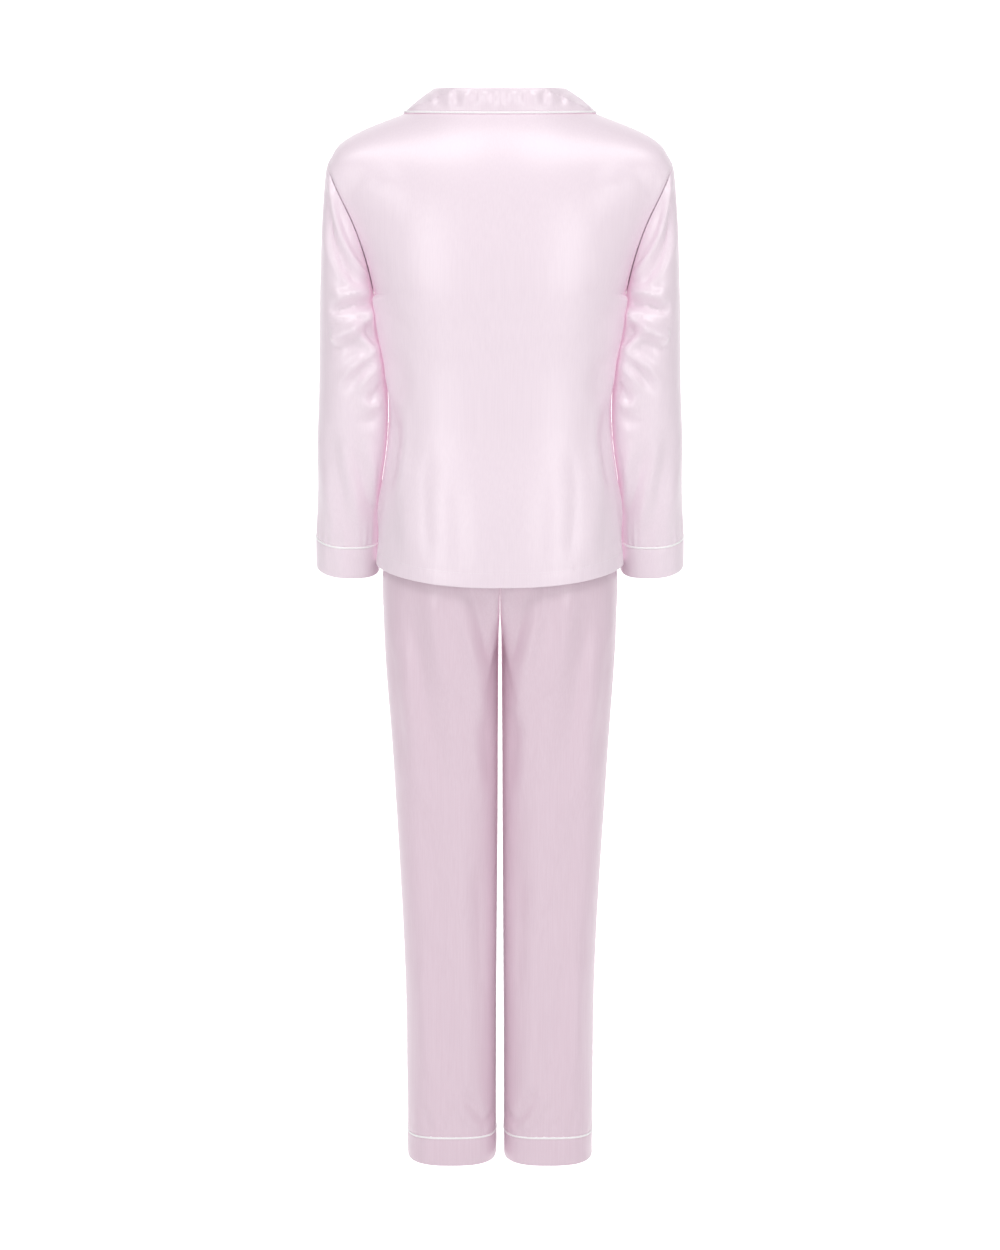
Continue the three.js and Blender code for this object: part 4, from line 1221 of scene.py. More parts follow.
@dataclass
class Collar:
    """The turned-down collar, its stand and fall in one, with piping round its edge."""

    form: ShirtForm
    thick: float = 1.6
    edge_z: float = -13.5  # of its outer edge across the back
    shoulder_column: float = 0.542
    tip: tuple[float, float] = (119, -60)
    belly: float = 4
    lift: float = 3.3
    back_share: float = 0.55
    roll_radius: float = 2.6
    puff: float = 1.5
    cut: tuple[float, float] = (0.09, 0.46)
    rows: tuple[int, int, int] = (5, 10, 20)  # of the stand, the fold and the fall
    columns: int = 90
    creases: tuple[Crease, ...] = (
        # Soft upright rumples in the fall
        Crease(((98, 12), (106, -2)), 3.5, 1.3, fade=0.4),
        Crease(((88, 16), (93, -8)), 3.5, -1.1, fade=0.4),
        Crease(((78, 22), (83, -7)), 3.5, 1.8, fade=0.4),
        Crease(((66, 24), (70, -9)), 4, -1.6, fade=0.4),
        Crease(((57, 25), (58, -7)), 3.5, 2.1, fade=0.4),
        Crease(((44, 24), (47, -9)), 4, -1.5, fade=0.4),
        Crease(((33, 26), (33, -8)), 3.5, 2.1, fade=0.4),
        Crease(((20, 24), (17, -9)), 4, -1.6, fade=0.4),
        Crease(((7, 27), (8, -9)), 3.5, 1.8, fade=0.4),
    )
    heights: Table = field(default_factory=lambda: Table(
        (0, 22.5), (0.3, 20.5), (0.55, 15), (0.75, 9), (1, 5.5),
    ))

    def ends(self, hand: Hand, share: Array) -> tuple[Array, Array, Array, Array]:
        """Root and edge of the collar.

        Args:
            hand: The wearer's side.
            share: From 0 at centre back to 1 at the notch.

        Returns:
            The root's points and outward directions, then the edge's.
        """
        form = self.form
        behind, before = share[share <= self.back_share], share[share > self.back_share]
        round_ = behind / self.back_share
        root, column = form.neck_column * round_, self.shoulder_column * round_
        level = search(
            np.full_like(round_, 1.5), np.full_like(round_, 2.0),
            lambda value: form.surface(column, value)[..., 2] < self.edge_z,
        )
        back_root = form.place(hand, Face.BACK, root, form.back_top(root))
        back_edge = form.place(hand, Face.BACK, column, level, self.lift)
        down = (before - self.back_share) / (1 - self.back_share)
        z = mix(form.neck_point[2], form.gorge_z, down)
        shoulder = form.crown(np.array(self.shoulder_column))
        bow = self.belly * np.sin(down * math.pi)
        front_root = form.face_place(hand, Face.FRONT, form.roll_x(z), z)
        front_edge = form.face_place(
            hand, Face.FRONT, mix(shoulder[0], self.tip[0], down) + bow,
            mix(shoulder[2], self.tip[1], down), self.lift,
        )
        return tuple(
            np.concatenate([back, front])
            for back, front in zip((*back_root, *back_edge), (*front_root, *front_edge))
        )

    def half(self, hand: Hand, share: Array) -> tuple[Array, Array]:
        """Grid of one half of the collar.

        Args:
            hand: The wearer's side.
            share: Rising shares from centre back to the notch.

        Returns:
            Points and outward directions, by share and row.
        """
        root, root_out, edge, edge_out = self.ends(hand, share)
        down = np.clip((share - self.back_share) / (1 - self.back_share), 0, 1)[:, None]
        up = unit(mix(root_out, np.array([0, 0, 1.0]), mix(0.8, 0.3, down)))
        over = edge - root
        over = unit(over - up * dot(over, up))
        high = self.heights.at(share)
        middle = root + up * (high - self.roll_radius) + over * (self.roll_radius + high * 0.1)
        turn = np.linspace(0, 0.72 * math.pi, self.rows[1])[:, None]
        fold_out = -over[:, None] * np.cos(turn) + up[:, None] * np.sin(turn)
        fold = middle[:, None] + fold_out * self.roll_radius
        stand_share = np.linspace(0, 1, self.rows[0], endpoint=False)[:, None]
        stand = mix((root + up * 0.6)[:, None], fold[:, :1], stand_share)
        stand_out = np.repeat(-over[:, None], self.rows[0], axis=1)
        part = np.linspace(0, 1, self.rows[2] + 1)[1:, None]
        fall_out = unit(mix(fold_out[:, -1:], edge_out[:, None], part))
        fall = mix(fold[:, -1:], edge[:, None], part) + fall_out * self.puff * np.sin(part * math.pi)
        gorge = self.form.roll_x(self.form.gorge_z), self.form.gorge_z
        bend = (1 - np.abs(2 * part - 1))[None] * smooth(down, 0.2, 1)[:, None]
        for axis, sign in ((0, int(hand)), (2, 1)):
            k = axis // 2
            notch = mix(gorge[k], self.form.lapel_tip[k], self.form.notch)
            fall[..., axis] += sign * bend[..., 0] * (notch - (gorge[k] + self.tip[k]) / 2)
        fall, fall_out = self.rest(hand, share, fall, fall_out)
        return (
            np.concatenate([stand, fold, fall], axis=1),
            np.concatenate([stand_out, fold_out, fall_out], axis=1),
        )

    def rest(self, hand: Hand, share: Array, fall: Array, out: Array) -> tuple[Array, Array]:
        """Keep the fall out over the shirt.

        Args:
            hand: The wearer's side.
            share: The columns' shares.
            fall, out: The fall's points and outward directions.

        Returns:
            Both, mended.
        """
        fall, out = fall.copy(), out.copy()
        for face, pick in ((Face.BACK, share <= self.back_share), (Face.FRONT, share > self.back_share)):
            inner = fall[pick][:, :-1]
            base, base_out = self.form.face_place(
                hand, face, hand * inner[..., 0], inner[..., 2], self.lift
            )
            short = np.clip(-dot(inner - base, base_out), 0, 12)
            fall[pick, :-1] = inner + base_out * short
        return fall, out

    def build(self) -> None:
        """Make the collar and its piping."""
        share = np.interp(
            np.linspace(0, 1, self.columns + 1), [0, 0.46, 0.6, 1], [0, 0.46, 0.62, 1]
        )
        (left, left_out), (right, right_out) = (self.half(hand, share) for hand in Hand)
        at = np.concatenate([left[:0:-1], right])
        out = np.concatenate([left_out[:0:-1], right_out])
        out = facing(at, out, False)
        fall = np.clip((np.arange(at.shape[1]) - sum(self.rows[:2])) / self.rows[2], 0, 1)
        run = lengths(at, 0)[:, -1:]
        soft = uneven(run, 9, 2, 43) + 0.7 * uneven(run, 4.3, 2.2, 31)
        at = at + out * (0.5 * soft * np.sin(fall * math.pi) ** 0.7)[..., None]
        at = at - out * (creased(at, out, self.creases) * smooth(fall, 0, 0.3))[..., None]
        out = facing(at, out, False)
        piece = dress(cloth("collar_satin", at, out, self.thick), Finish.SHIRT, "shirt_satin", "collar")
        cut_area(self.cut, 0.8)
        first = sum(self.rows[:2]) - 1 + self.rows[2] * mix(0.5, 1, self.form.piping_from)
        rows = np.linspace(first, at.shape[1] - 1, 12)
        pick = lambda grid: np.stack(
            [np.interp(rows, np.arange(len(grid)), grid[:, k]) for k in range(3)], axis=-1
        )
        ends = []
        for end, inside in ((0, 2), (-1, -3)):
            points, facing_out = pick(at[end]), pick(out[end])
            ends.append((points, beside_edge(points, pick(at[inside]), facing_out), facing_out))
        rim = (at[:, -1], beside_edge(at[:, -1], at[:, -3], out[:, -1]), out[:, -1])
        piping = edge_cord("collar_edge_piping", [ends[0], rim, tuple(part[::-1] for part in ends[1])])
        dress(piping, Finish.PIPING, "piping", "collar_piping")


@dataclass
class Lapels:
    """The turned-back tops of the fronts, with piping round their free edges."""

    form: ShirtForm
    thick: float = 1.4
    bottom: dict[Hand, float] = field(default_factory=lambda: {Hand.LEFT: -134, Hand.RIGHT: -160})
    start: float = 5
    belly: float = 5
    lift: float = 3
    puff: float = 2.2
    cut: tuple[float, float] = (0.075, 0.15)
    columns: int = 36
    rows: int = 64

    def place(self, hand: Hand, along: Array, across: Array) -> tuple[Array, Array]:
        """Places on a lapel.

        Args:
            hand: The wearer's side.
            along: 0 at its bottom and 1 at the gorge.
            across: 0 at the fold and 1 at the free edge.

        Returns:
            Points and outward directions.
        """
        form, bottom = self.form, self.bottom[hand]
        fold_z = mix(bottom, form.gorge_z, along)
        belly = self.belly * np.sin(along * math.pi)
        edge_x = mix(form.roll_x(bottom) + self.start, form.lapel_tip[0], along) + 0.6 * belly
        edge_z = mix(bottom - 1, form.lapel_tip[1], along) - 0.8 * belly
        puff = self.puff * np.sin(across * math.pi) * smooth(along, 0, 0.4)
        return form.face_place(
            hand, Face.FRONT, mix(form.roll_x(fold_z), edge_x, across),
            mix(fold_z, edge_z, across), (self.lift + puff)[..., None],
        )

    def build(self) -> None:
        """Make both lapels and their piping."""
        for hand in Hand:
            along, across = np.meshgrid(
                spread(self.rows, 150), spread(self.columns, 70), indexing="xy"
            )
            at, out = self.place(hand, along, across)
            soft = 0.35 * np.sin(along * 23 + 3 * across) * np.sin(across * math.pi)
            at = at + out * soft[..., None]
            out = facing(at, out, False)
            at, out = self.rolled(at, out)
            name = f"lapel_{hand.word}"
            piece = dress(cloth(name + "_satin", at, out, self.thick), Finish.SHIRT, "shirt_satin", name)
            cut_area(self.cut, 0.6)
            across = np.linspace(mix(self.form.notch, 1, self.form.piping_from), 1, 14)
            along = np.linspace(1, 0.14, 90)
            edges = []
            for edge_along, edge_across, inside in (
                (np.ones_like(across), across, (0.96, across)),
                (along, np.ones_like(along), (along, 0.8)),
            ):
                points, facing_out = self.place(hand, edge_along, edge_across)
                before, _ = self.place(hand, *np.broadcast_arrays(*inside))
                edges.append((points, beside_edge(points, before, facing_out), facing_out))
            piping = edge_cord(f"lapel_{hand.word}_edge_piping", edges)
            dress(piping, Finish.PIPING, "piping", f"lapel_piping_{hand.word}")

    def rolled(self, at: Array, out: Array) -> tuple[Array, Array]:
        """Carry the lapel's cloth round its fold to the front beneath it.

        Args:
            at, out: The lapel's points and outward directions, with the fold as first column.

        Returns:
            Both, with the fold's columns put before them.
        """
        away = unit(at[0] - at[2])
        away = unit(away - out[0] * dot(away, out[0]))
        radius = (self.lift - 0.4) / 2
        turn = np.linspace(math.pi, 0, 8, endpoint=False)[:, None, None]
        middle = at[0] - out[0] * radius
        around = out[0] * np.cos(turn) + away * np.sin(turn)
        return (
            np.concatenate([middle + around * radius, at]), np.concatenate([around, out]),
        )


@dataclass
class Sleeves:
    """The set-in sleeves with their doubled, piped cuffs."""

    form: ShirtForm
    thick: float = 1.0
    cuff_thick: float = 2.2
    top_z: float = -300
    seam_z: float = -582
    hem_z: float = -624
    tilt: float = 0.29
    arrive: float = 110
    columns: int = 132
    rows: tuple[int, int] = (46, 98)
    sleeve_cut: tuple[float, float] = (0.36, 0.5)
    cuff_cut: tuple[float, float] = (0.28, 0.042)
    leave: tuple[float, float, float] = (34, 70, 120)  # at the armpit, face and tip
    outward: tuple[float, float, float] = (-0.02, 0.75, 0.22)
    fullness: float = 0.8  # how far the cap stands out from back and front as it leaves its seam
    creases: tuple[Crease, ...] = (
        # The cap folds over beside its seam
        Crease(((232, -100), (227, -144), (217, -184), (203, -212), (180, -242)), 7, 7.2, fade=0.15),
        Crease(((228, -96), (220, -140), (210, -176), (196, -203), (174, -234)), 4.5, -4.4, fade=0.15),
        Crease(((219, -120), (206, -160), (189, -196), (174, -222)), 4.5, 1.8, fade=0.3),
        # Folds where the arm hangs from the shoulder
        Crease(((226, -244), (208, -251), (192, -247), (166, -246)), 6.5, -6.0),
        Crease(((228, -268), (212, -270), (190, -263), (160, -262)), 6.5, 7.8, fade=0.22),
        Crease(((226, -306), (210, -303), (190, -291), (158, -272)), 8.5, -10.5, fade=0.2),
        Crease(((190, -274), (172, -294), (152, -322)), 8, 9.0, fade=0.25),
        Crease(((200, -292), (186, -306), (164, -326)), 5.5, -4.2),
        Crease(((150, -312), (178, -333), (218, -368)), 7, -5.0, fade=0.4),
        Crease(((166, -338), (188, -354), (212, -386)), 6.5, 4.2, fade=0.4),
        Crease(((154, -334), (174, -356), (194, -392)), 6.5, -4.4, fade=0.4),
        Crease(((150, -362), (164, -380), (178, -404)), 6, 4.6, fade=0.4),
        Crease(((152, -392), (170, -396), (194, -390)), 6, -3.2, fade=0.4),
        Crease(((154, -312), (148, -357), (152, -400)), 8, 5.0),
        Crease(((154, -408), (172, -418), (196, -420)), 8, 3.2, fade=0.4),
        Crease(((230, -416), (218, -480), (204, -560)), 12, 3.2),
        Crease(((214, -430), (200, -500), (186, -578)), 10, -3.4),
        Crease(((198, -440), (182, -510), (166, -566)), 10, 3.8),
        Crease(((180, -440), (168, -490), (166, -548)), 9, -2.8),
        Crease(((236, -470), (228, -540), (222, -590)), 9, -2.6),
        # The front has similar ones
        Crease(((229, -104), (222, -150), (206, -196), (184, -230)), 8, 4.0, Face.FRONT),
        Crease(((226, -270), (206, -282), (176, -306)), 7, 5.6, Face.FRONT),
        Crease(((228, -300), (206, -308), (180, -334)), 7, -4.8, Face.FRONT),
        Crease(((230, -330), (204, -336), (168, -352)), 7, 5.4, Face.FRONT),
        Crease(((228, -372), (198, -362), (160, -372)), 7, -4.2, Face.FRONT),
        Crease(((226, -396), (200, -388), (166, -396)), 7, 4.8, Face.FRONT),
        Crease(((214, -430), (202, -500), (196, -570)), 12, -3.0, Face.FRONT),
        Crease(((186, -450), (180, -510), (176, -572)), 10, 3.4, Face.FRONT),
        Crease(((234, -430), (230, -500), (226, -580)), 10, 2.8, Face.FRONT),
    )

    def armhole(self, hand: Hand, around: Array) -> tuple[Array, Array]:
        """Edge of the armhole.

        Args:
            hand: The wearer's side.
            around: 0 at the armpit, 0.5 at the shoulder tip, up the back and down the front.

        Returns:
            Points and outward directions.
        """
        turn = around % 1
        before = turn > 0.5
        share = np.where(before, 2 - 2 * turn, 2 * turn)
        level = 1 + share**1.25
        column = self.form.armhole_column(level)
        back, back_out = self.form.place(hand, Face.BACK, column, level)
        front, front_out = self.form.place(hand, Face.FRONT, column, level)
        pick = before[..., None]
        return np.where(pick, front, back), np.where(pick, front_out, back_out)

    def section(self, hand: Hand, z: Array, around: Array) -> Array:
        """Points of a sleeve or cuff, lower at the back by the tilt."""
        size = self.form.arms.at(z)
        inward, back = np.cos(around * TURN), np.sin(around * TURN)
        rounding = np.where(inward > 0, 2 / self.form.arm_squareness, 1)
        inward, back = power(inward, rounding), size[..., 3] * power(back, rounding)
        tilt = self.tilt * smooth(z, self.top_z, self.seam_z + 60)
        return vectors(
            hand * (size[..., 0] - size[..., 2] * inward), size[..., 1] - back, z - tilt * back
        )

    def surface(self, hand: Hand, around: Array, level: Array) -> Array:
        """The sleeve's outer face: level 0 at the armhole, 1 at the top of the arm, 2 at the cuff."""
        around, level = np.broadcast_arrays(around, level)
        end_z = self.seam_z + PIPING_RADIUS + SEAM_GAP
        arm = self.section(hand, mix(self.top_z, end_z, np.maximum(level - 1, 0)), around)
        start, out = self.armhole(hand, around)
        tip = np.sin(around * math.pi) ** 2
        face = np.sin(around * TURN) ** 2
        pick = lambda row: mix(mix(row[0], row[2], tip), row[1], face)
        away = unit(vectors(hand * pick(self.outward), -self.fullness * np.sin(around * TURN), -1))
        start = start + out * (SEAM_GAP * (1 - tip))[..., None]
        start = start + away * (SEAM_GAP * (0.4 + tip))[..., None]
        top = np.full(around.shape, float(self.top_z))
        end = self.section(hand, top, around)
        fall = (self.section(hand, top - 1, around) - end) * self.arrive
        share = np.minimum(level, 1)[..., None]
        cap = hermite(start, away * pick(self.leave)[..., None], end, fall, share)
        return np.where((level >= 1)[..., None], arm, cap)

    def sleeve_grid(self, hand: Hand) -> tuple[Array, Array]:
        """The sleeve with its folds, its underarm seam and the gathers of both its ends."""
        around = (np.arange(self.columns) / self.columns)[:, None]
        cap = np.concatenate([[0, 0.008, 0.02, 0.035], np.linspace(0.055, 1, self.rows[0])])
        arm = 1 + np.concatenate([np.linspace(0, 0.985, self.rows[1])[1:], [0.991, 0.996, 1]])
        level = np.concatenate([cap, arm])[None]
        surface = lambda a, b: self.surface(hand, a, b)
        at = surface(around, level)
        out = normal_of(surface, around, np.clip(level, 0.003, 1.997), -hand)
        depth = creased(at, out, self.creases) * smooth(level, 0.02, 0.2)
        # Ridges end where the sleeve lies against the body
        centre, _, wide, _ = np.moveaxis(self.form.arms.at(np.clip(at[..., 2], -630, -270)), -1, 0)
        inner = smooth((centre - np.abs(at[..., 0])) / wide, 0.72, 0.92) * smooth(level, 0.6, 1)
        depth = np.where(depth < 0, depth * (1 - inner), depth)
        depth = depth + Sewn(low=True, high=True, dip=0.4, pucker=0.35).depth(at)
        # The underarm seam, with its puckers
        away = np.minimum(around, 1 - around) * 250
        run = lengths(at, 1)
        pucker = uneven(run, 1.5, 1.7, 14)
        depth = depth + 0.6 * np.exp(-((away / 2.2) ** 2))
        depth = depth + 0.2 * pucker * np.exp(-away / 7) * smooth(level, 0.05, 0.2)
        # Gathers over the cuff
        gather = uneven(around * TURN, 1 / 21, 1.5, 1 / 5)
        depth = depth + 0.55 * gather * smooth(level, 1.8, 2.0) * (1 - smooth(level, 1.99, 2.0))
        # Cloth is never quite even between its folds
        soft = np.sin(at[..., 2] / 31 + 4 * around * math.pi + 1.3 * np.sin(at[..., 2] / 77))
        depth = depth + 0.5 * soft * smooth(level, 0.6, 1.1) * (1 - smooth(level, 1.85, 2))
        at = at - out * depth[..., None]
        return at, facing(at, out, True)

    def cuff_grid(self, hand: Hand) -> tuple[Array, Array]:
        """The cuff, slightly rippled, with its lower edge turned in."""
        around = (np.arange(self.columns) / self.columns)[:, None]
        top = self.seam_z - PIPING_RADIUS - SEAM_GAP
        share = np.concatenate([[0, 0.02, 0.05], np.linspace(0.09, 0.95, 14), [0.98, 1]])[None]
        z = mix(top, self.hem_z, share)
        surface = lambda a, b: self.section(hand, b, a)
        at = surface(around, z)
        out = normal_of(surface, around, z, hand)
        soft = 0.4 * uneven(around * TURN, 1 / 7, 2, 1 / 3)
        fine = 0.12 * uneven(around * TURN, 1 / 31, 2, 1 / 5)
        at = at - out * band_depth(share, self.seam_z - self.hem_z, soft, fine)[..., None]
        return at, facing(at, out, True)

    def build(self) -> None:
        """Make both sleeves with cuffs and piping."""
        for hand in Hand:
            name = f"sleeve_{hand.word}"
            at, out = self.sleeve_grid(hand)
            piece = cloth(name + "_satin", at, out, self.thick, closed=True)
            dress(piece, Finish.SHIRT, "shirt_satin", name)
            cut = self.sleeve_cut
            cut_area(cut, 0.75)
            name = f"cuff_{hand.word}"
            at, out = self.cuff_grid(hand)
            piece = cloth(name + "_satin", at, out, self.cuff_thick, closed=True)
            dress(piece, Finish.SHIRT, "shirt_satin", name)
            surface = lambda a, b: self.section(hand, b, a)
            around = np.arange(2 * self.columns) / (2 * self.columns)
            z = np.full_like(around, float(self.seam_z))
            out = normal_of(surface, around, z, hand)
            piping = cord(f"cuff_{hand.word}_seam_piping", surface(around, z) - out * 0.5, out,
                          PIPING_RADIUS, closed=True)
            dress(piping, Finish.PIPING, "piping", f"cuff_piping_{hand.word}")


@dataclass
class Buttons:
    """Pearl buttons down the centre front, each sewn on through four holes."""

    form: ShirtForm
    heights: tuple[float, ...] = (-188, -286, -384, -482, -572)
    radius: float = 5.75
    thick: float = 2.6
    rim: float = 0.8
    sides: int = 56
    hole_radius: float = 0.75
    hole_from_middle: float = 1.7
    hole_depth: float = 1.5
    hole_length: float = 13.5  # of the buttonhole under it
    hole_width: float = 2.6

    def profile(self) -> Array:
        """Half of the button's section, from its underside's middle to its top's middle."""
        edge, top, dish = self.radius, self.thick, self.thick - self.rim / 2
        shape = [(0.01, 0), (edge - self.rim, 0), (edge - 0.25, 0.25), (edge, self.rim)]
        shape += [(edge, dish - 0.2), (edge - 0.2, top - 0.12), (edge - 0.55, top)]
        shape += [(edge - 1.0, top - 0.1), (edge - 2 * self.rim, dish), (edge - 1.9, dish - 0.06)]
        shape += [(r, dish - 0.08) for r in np.arange(edge - 2.2, 0, -0.22)]
        return np.array(shape + [(0.01, dish - 0.08)])

    def build(self) -> None:
        """Make each button with its thread and its buttonhole."""
        for number, z in enumerate(self.heights, start=1):
            level = search(
                np.zeros(1), np.full(1, 1.6), lambda value: self.form.surface(2.0, value)[..., 2] < z
            )
            at, out = self.form.place(Hand.RIGHT, Face.FRONT, np.zeros(1), level)
            at, out = at[0] + out[0] * 2 * SEAM_GAP, out[0]
            across = unit(np.cross(out, np.array([0, 0, 1.0])))
            up = np.cross(across, out)
            self.button(number, at, out, across, up)
            self.thread(number, at, out, across, up)
            self.buttonhole(number, at - out * 0.55, out, across, up)

    def button(self, number: int, at: Array, out: Array, across: Array, up: Array) -> None:
        """Make one button, with out as its axis."""
        profile = self.profile()
        turn = np.arange(self.sides) / self.sides * TURN
        x = profile[:, :1] * np.cos(turn)
        y = profile[:, :1] * np.sin(turn)
        height = np.repeat(profile[:, 1:], self.sides, axis=1)
        top = height > self.thick / 2
        middle = self.hole_from_middle / math.sqrt(2)
        for sx, sy in itertools.product((-1, 1), repeat=2):
            away = np.hypot(x - sx * middle, y - sy * middle)
            hole = 1 - smooth(away, 0.6 * self.hole_radius, self.hole_radius)
            height = height - self.hole_depth * top * hole
        points = at + x[..., None] * across + y[..., None] * up + height[..., None] * out
        faces = [group[:, ::-1] for group in tube_faces(len(profile), self.sides)]
        piece = make_object(f"button_{number}_pearl", points.reshape(-1, 3), faces, 35)
        dress(piece, Finish.BUTTON, "button", f"button_{number}")

    def thread(self, number: int, at: Array, out: Array, across: Array, up: Array) -> None:
        """Make the two bars of thread between the holes."""
        middle = self.hole_from_middle / math.sqrt(2)
        share = np.linspace(0, 1, 13)[:, None]
        for side, word in ((-1, "a"), (1, "b")):
            height = self.thick - 1.3 + 1.35 * np.sin(share * math.pi) ** 0.4
            path = at + across * side * middle + up * mix(-middle, middle, share) + out * height
            bar = cord(f"button_{number}_thread_{word}", path, np.repeat(across[None], 13, axis=0), 0.4)
            dress(bar, Finish.THREAD, "piping")

    def buttonhole(self, number: int, at: Array, out: Array, across: Array, up: Array) -> None:
        """Make the overcast edge of the buttonhole."""
        turn = np.arange(64) / 64 * TURN
        half = self.hole_length / 2
        x = self.hole_width / 2 * np.cos(turn)
        y = half * power(np.sin(turn), 0.6)
        ridge = 0.08 * np.cos(turn * 32)
        path = at + x[:, None] * across + y[:, None] * up + ridge[:, None] * out
        edge = cord(f"buttonhole_{number}_thread", path, np.repeat(out[None], 64, axis=0), 0.55, closed=True)
        dress(edge, Finish.THREAD, "piping")


# The trousers


@dataclass
class Trousers:
    """Straight trousers: four panels, doubled and piped hem bands, and an elastic waist."""

    thick: float = 1.0
    band_thick: float = 2.2
    waist_top_z: float = -412
    waist_seam_z: float = -447
    seat_z: float = -597
    crotch_z: float = -697
    seat_blend: float = 120
    leg_seam_z: float = -1408
    leg_seam_rise: float = 3.5
    leg_hem_z: float = -1444
    leg_squareness: float = 2.7
    hip_squareness: float = 2.5
    columns: int = 64
    leg_rows: int = 132
    hip_rows: int = 58
    panel_cut: tuple[float, float] = (0.26, 1.0)
    band_cut: tuple[float, float] = (0.405, 0.04)
    waist_cut: tuple[float, float] = (0.78, 0.036)
    hip_sections: Table = field(default_factory=lambda: Table(  # height, side, back, front
        (-697, 157.6, 108, 94), (-640, 159.5, 115, 99), (-580, 153, 112, 100),
        (-520, 139, 101, 97), (-447, 121, 84, 88), (-412, 118, 82, 86),
    ))
    leg_sections: Table = field(default_factory=lambda: Table(  # height, inner, outer, deep, fore
        (-1450, 5.6, 128.2, 65, -2), (-1320, 5.4, 129.2, 67, -2), (-1218, 5.2, 130.2, 68, -1),
        (-1129, 4.8, 133.2, 70, 0), (-1010, 4, 139.2, 74, 0), (-930, 3.3, 143.6, 78, -1),
        (-862, 2.8, 147.4, 82, -3), (-795, 2.2, 152, 87, -5), (-729, 1.7, 155.8, 92, -7),
        (-697, 1.4, 157.6, 95, -8),
    ))
    creases: tuple[Crease, ...] = (
        # Long soft folds down the back of each leg
        Crease(((132, -610), (112, -735), (95, -826), (78, -960)), 17, 6.9),
        Crease(((92, -630), (80, -703), (66, -800)), 14, -4.5),
        Crease(((44, -612), (30, -660), (18, -707), (7, -752)), 12, 7.4),
        Crease(((62, -640), (44, -700), (28, -780), (20, -850)), 11, -3.6),
        Crease(((22, -800), (16, -860), (12, -930)), 9, 3.3),
        Crease(((150, -690), (139, -792), (128, -900)), 11, 4.1),
        Crease(((112, -900), (98, -1010), (92, -1120)), 16, 3.6),
        Crease(((60, -900), (52, -1010), (46, -1130)), 16, -3.6),
        Crease(((30, -1000), (26, -1120), (24, -1230)), 12, 3.3),
        Crease(((110, -1130), (104, -1240), (100, -1340)), 14, -3.4),
        Crease(((76, -1120), (74, -1230), (70, -1330)), 15, 3.6),
        Crease(((47, -1180), (44, -1290), (38, -1360)), 12, -2.8),
        # Cloth breaks where it meets the band
        Crease(((66, -1336), (48, -1368), (28, -1396)), 8, -2.8),
        Crease(((52, -1330), (36, -1364), (16, -1388)), 7, 2.4),
        Crease(((28, -1392), (15, -1383), (4, -1372)), 5, 2.2),
        Crease(((86, -1372), (76, -1384), (70, -1396)), 5, 1.8),
        Crease(((112, -1360), (102, -1380), (98, -1398)), 6, 1.6),
        # The front has similar ones
        Crease(((34, -560), (20, -630), (7, -696)), 11, 3.4, Face.FRONT),
        Crease(((56, -580), (40, -650), (22, -716)), 10, -2.0, Face.FRONT),
        Crease(((66, -650), (40, -690), (12, -716)), 8, 2.2, Face.FRONT),
        Crease(((94, -640), (84, -800), (78, -990)), 15, 3.0, Face.FRONT),
        Crease(((66, -820), (62, -980), (58, -1130)), 15, -1.8, Face.FRONT),
        Crease(((132, -700), (124, -830), (116, -960)), 12, 2.0, Face.FRONT),
        Crease(((34, -860), (30, -980), (28, -1100)), 11, 1.6, Face.FRONT),
        Crease(((100, -1040), (96, -1180), (94, -1320)), 14, 1.7, Face.FRONT),
        Crease(((44, -1150), (42, -1270), (40, -1380)), 13, 1.5, Face.FRONT),
        Crease(((74, -1190), (72, -1290), (68, -1370)), 12, -1.4, Face.FRONT),
        Crease(((92, -1352), (74, -1376), (60, -1398)), 7, 2.0, Face.FRONT),
        Crease(((30, -1356), (24, -1380), (22, -1398)), 6, 1.8, Face.FRONT),
    )

    def leg_section(self, hand: Hand, z: Array, u: Array) -> Array:
        """Points of one leg: u is 0 at the inside leg, 0.5 at the side seam, back first."""
        inner, outer, deep, fore = np.moveaxis(self.leg_sections.at(z), -1, 0)
        rounding = 2 / self.leg_squareness
        across = power(np.cos(u * TURN), rounding)
        return vectors(
            hand * ((inner + outer) / 2 - (outer - inner) / 2 * across),
            fore - deep * power(np.sin(u * TURN), rounding), z,
        )

    def hip_section(self, hand: Hand, z: Array, u: Array) -> Array:
        """Points of one half of the seat: u is 0 at centre back and 1 at centre front."""
        side, back, front = np.moveaxis(self.hip_sections.at(z), -1, 0)
        share = (1 - power(np.cos(u * TURN), 2 / self.leg_squareness)) / 2
        deep = np.maximum(1 - share**self.hip_squareness, 0) ** (1 / self.hip_squareness)
        return vectors(hand * side * share, np.where(u < 0.5, -back, front) * deep, z)

    def surface(self, hand: Hand, u: Array, z: Array) -> Array:
        """The trousers' outer face, with the seat seam turning under between the legs."""
        u, z = np.broadcast_arrays(np.asarray(u, float), np.asarray(z, float))
        leg = self.leg_section(hand, np.minimum(z, self.crotch_z), u)
        hip = self.hip_section(hand, np.maximum(z, self.crotch_z), u)
        leg[..., 2] = z
        hip[..., 2] = z
        outside = smooth(np.sin(u * math.pi), 0, 0.6)
        start = self.crotch_z - self.seat_blend * outside
        height = np.clip((z - start) / (self.seat_z - start), 0, 1)
        share = mix(np.sqrt(1 - (1 - height) ** 2), smooth(height, 0, 1), outside)
        return mix(leg, hip, share[..., None])

    def seam(self, u: Array) -> Array:
        """Height of the piped seam over the hem band."""
        return self.leg_seam_z + self.leg_seam_rise * np.sin(u * TURN) ** 2

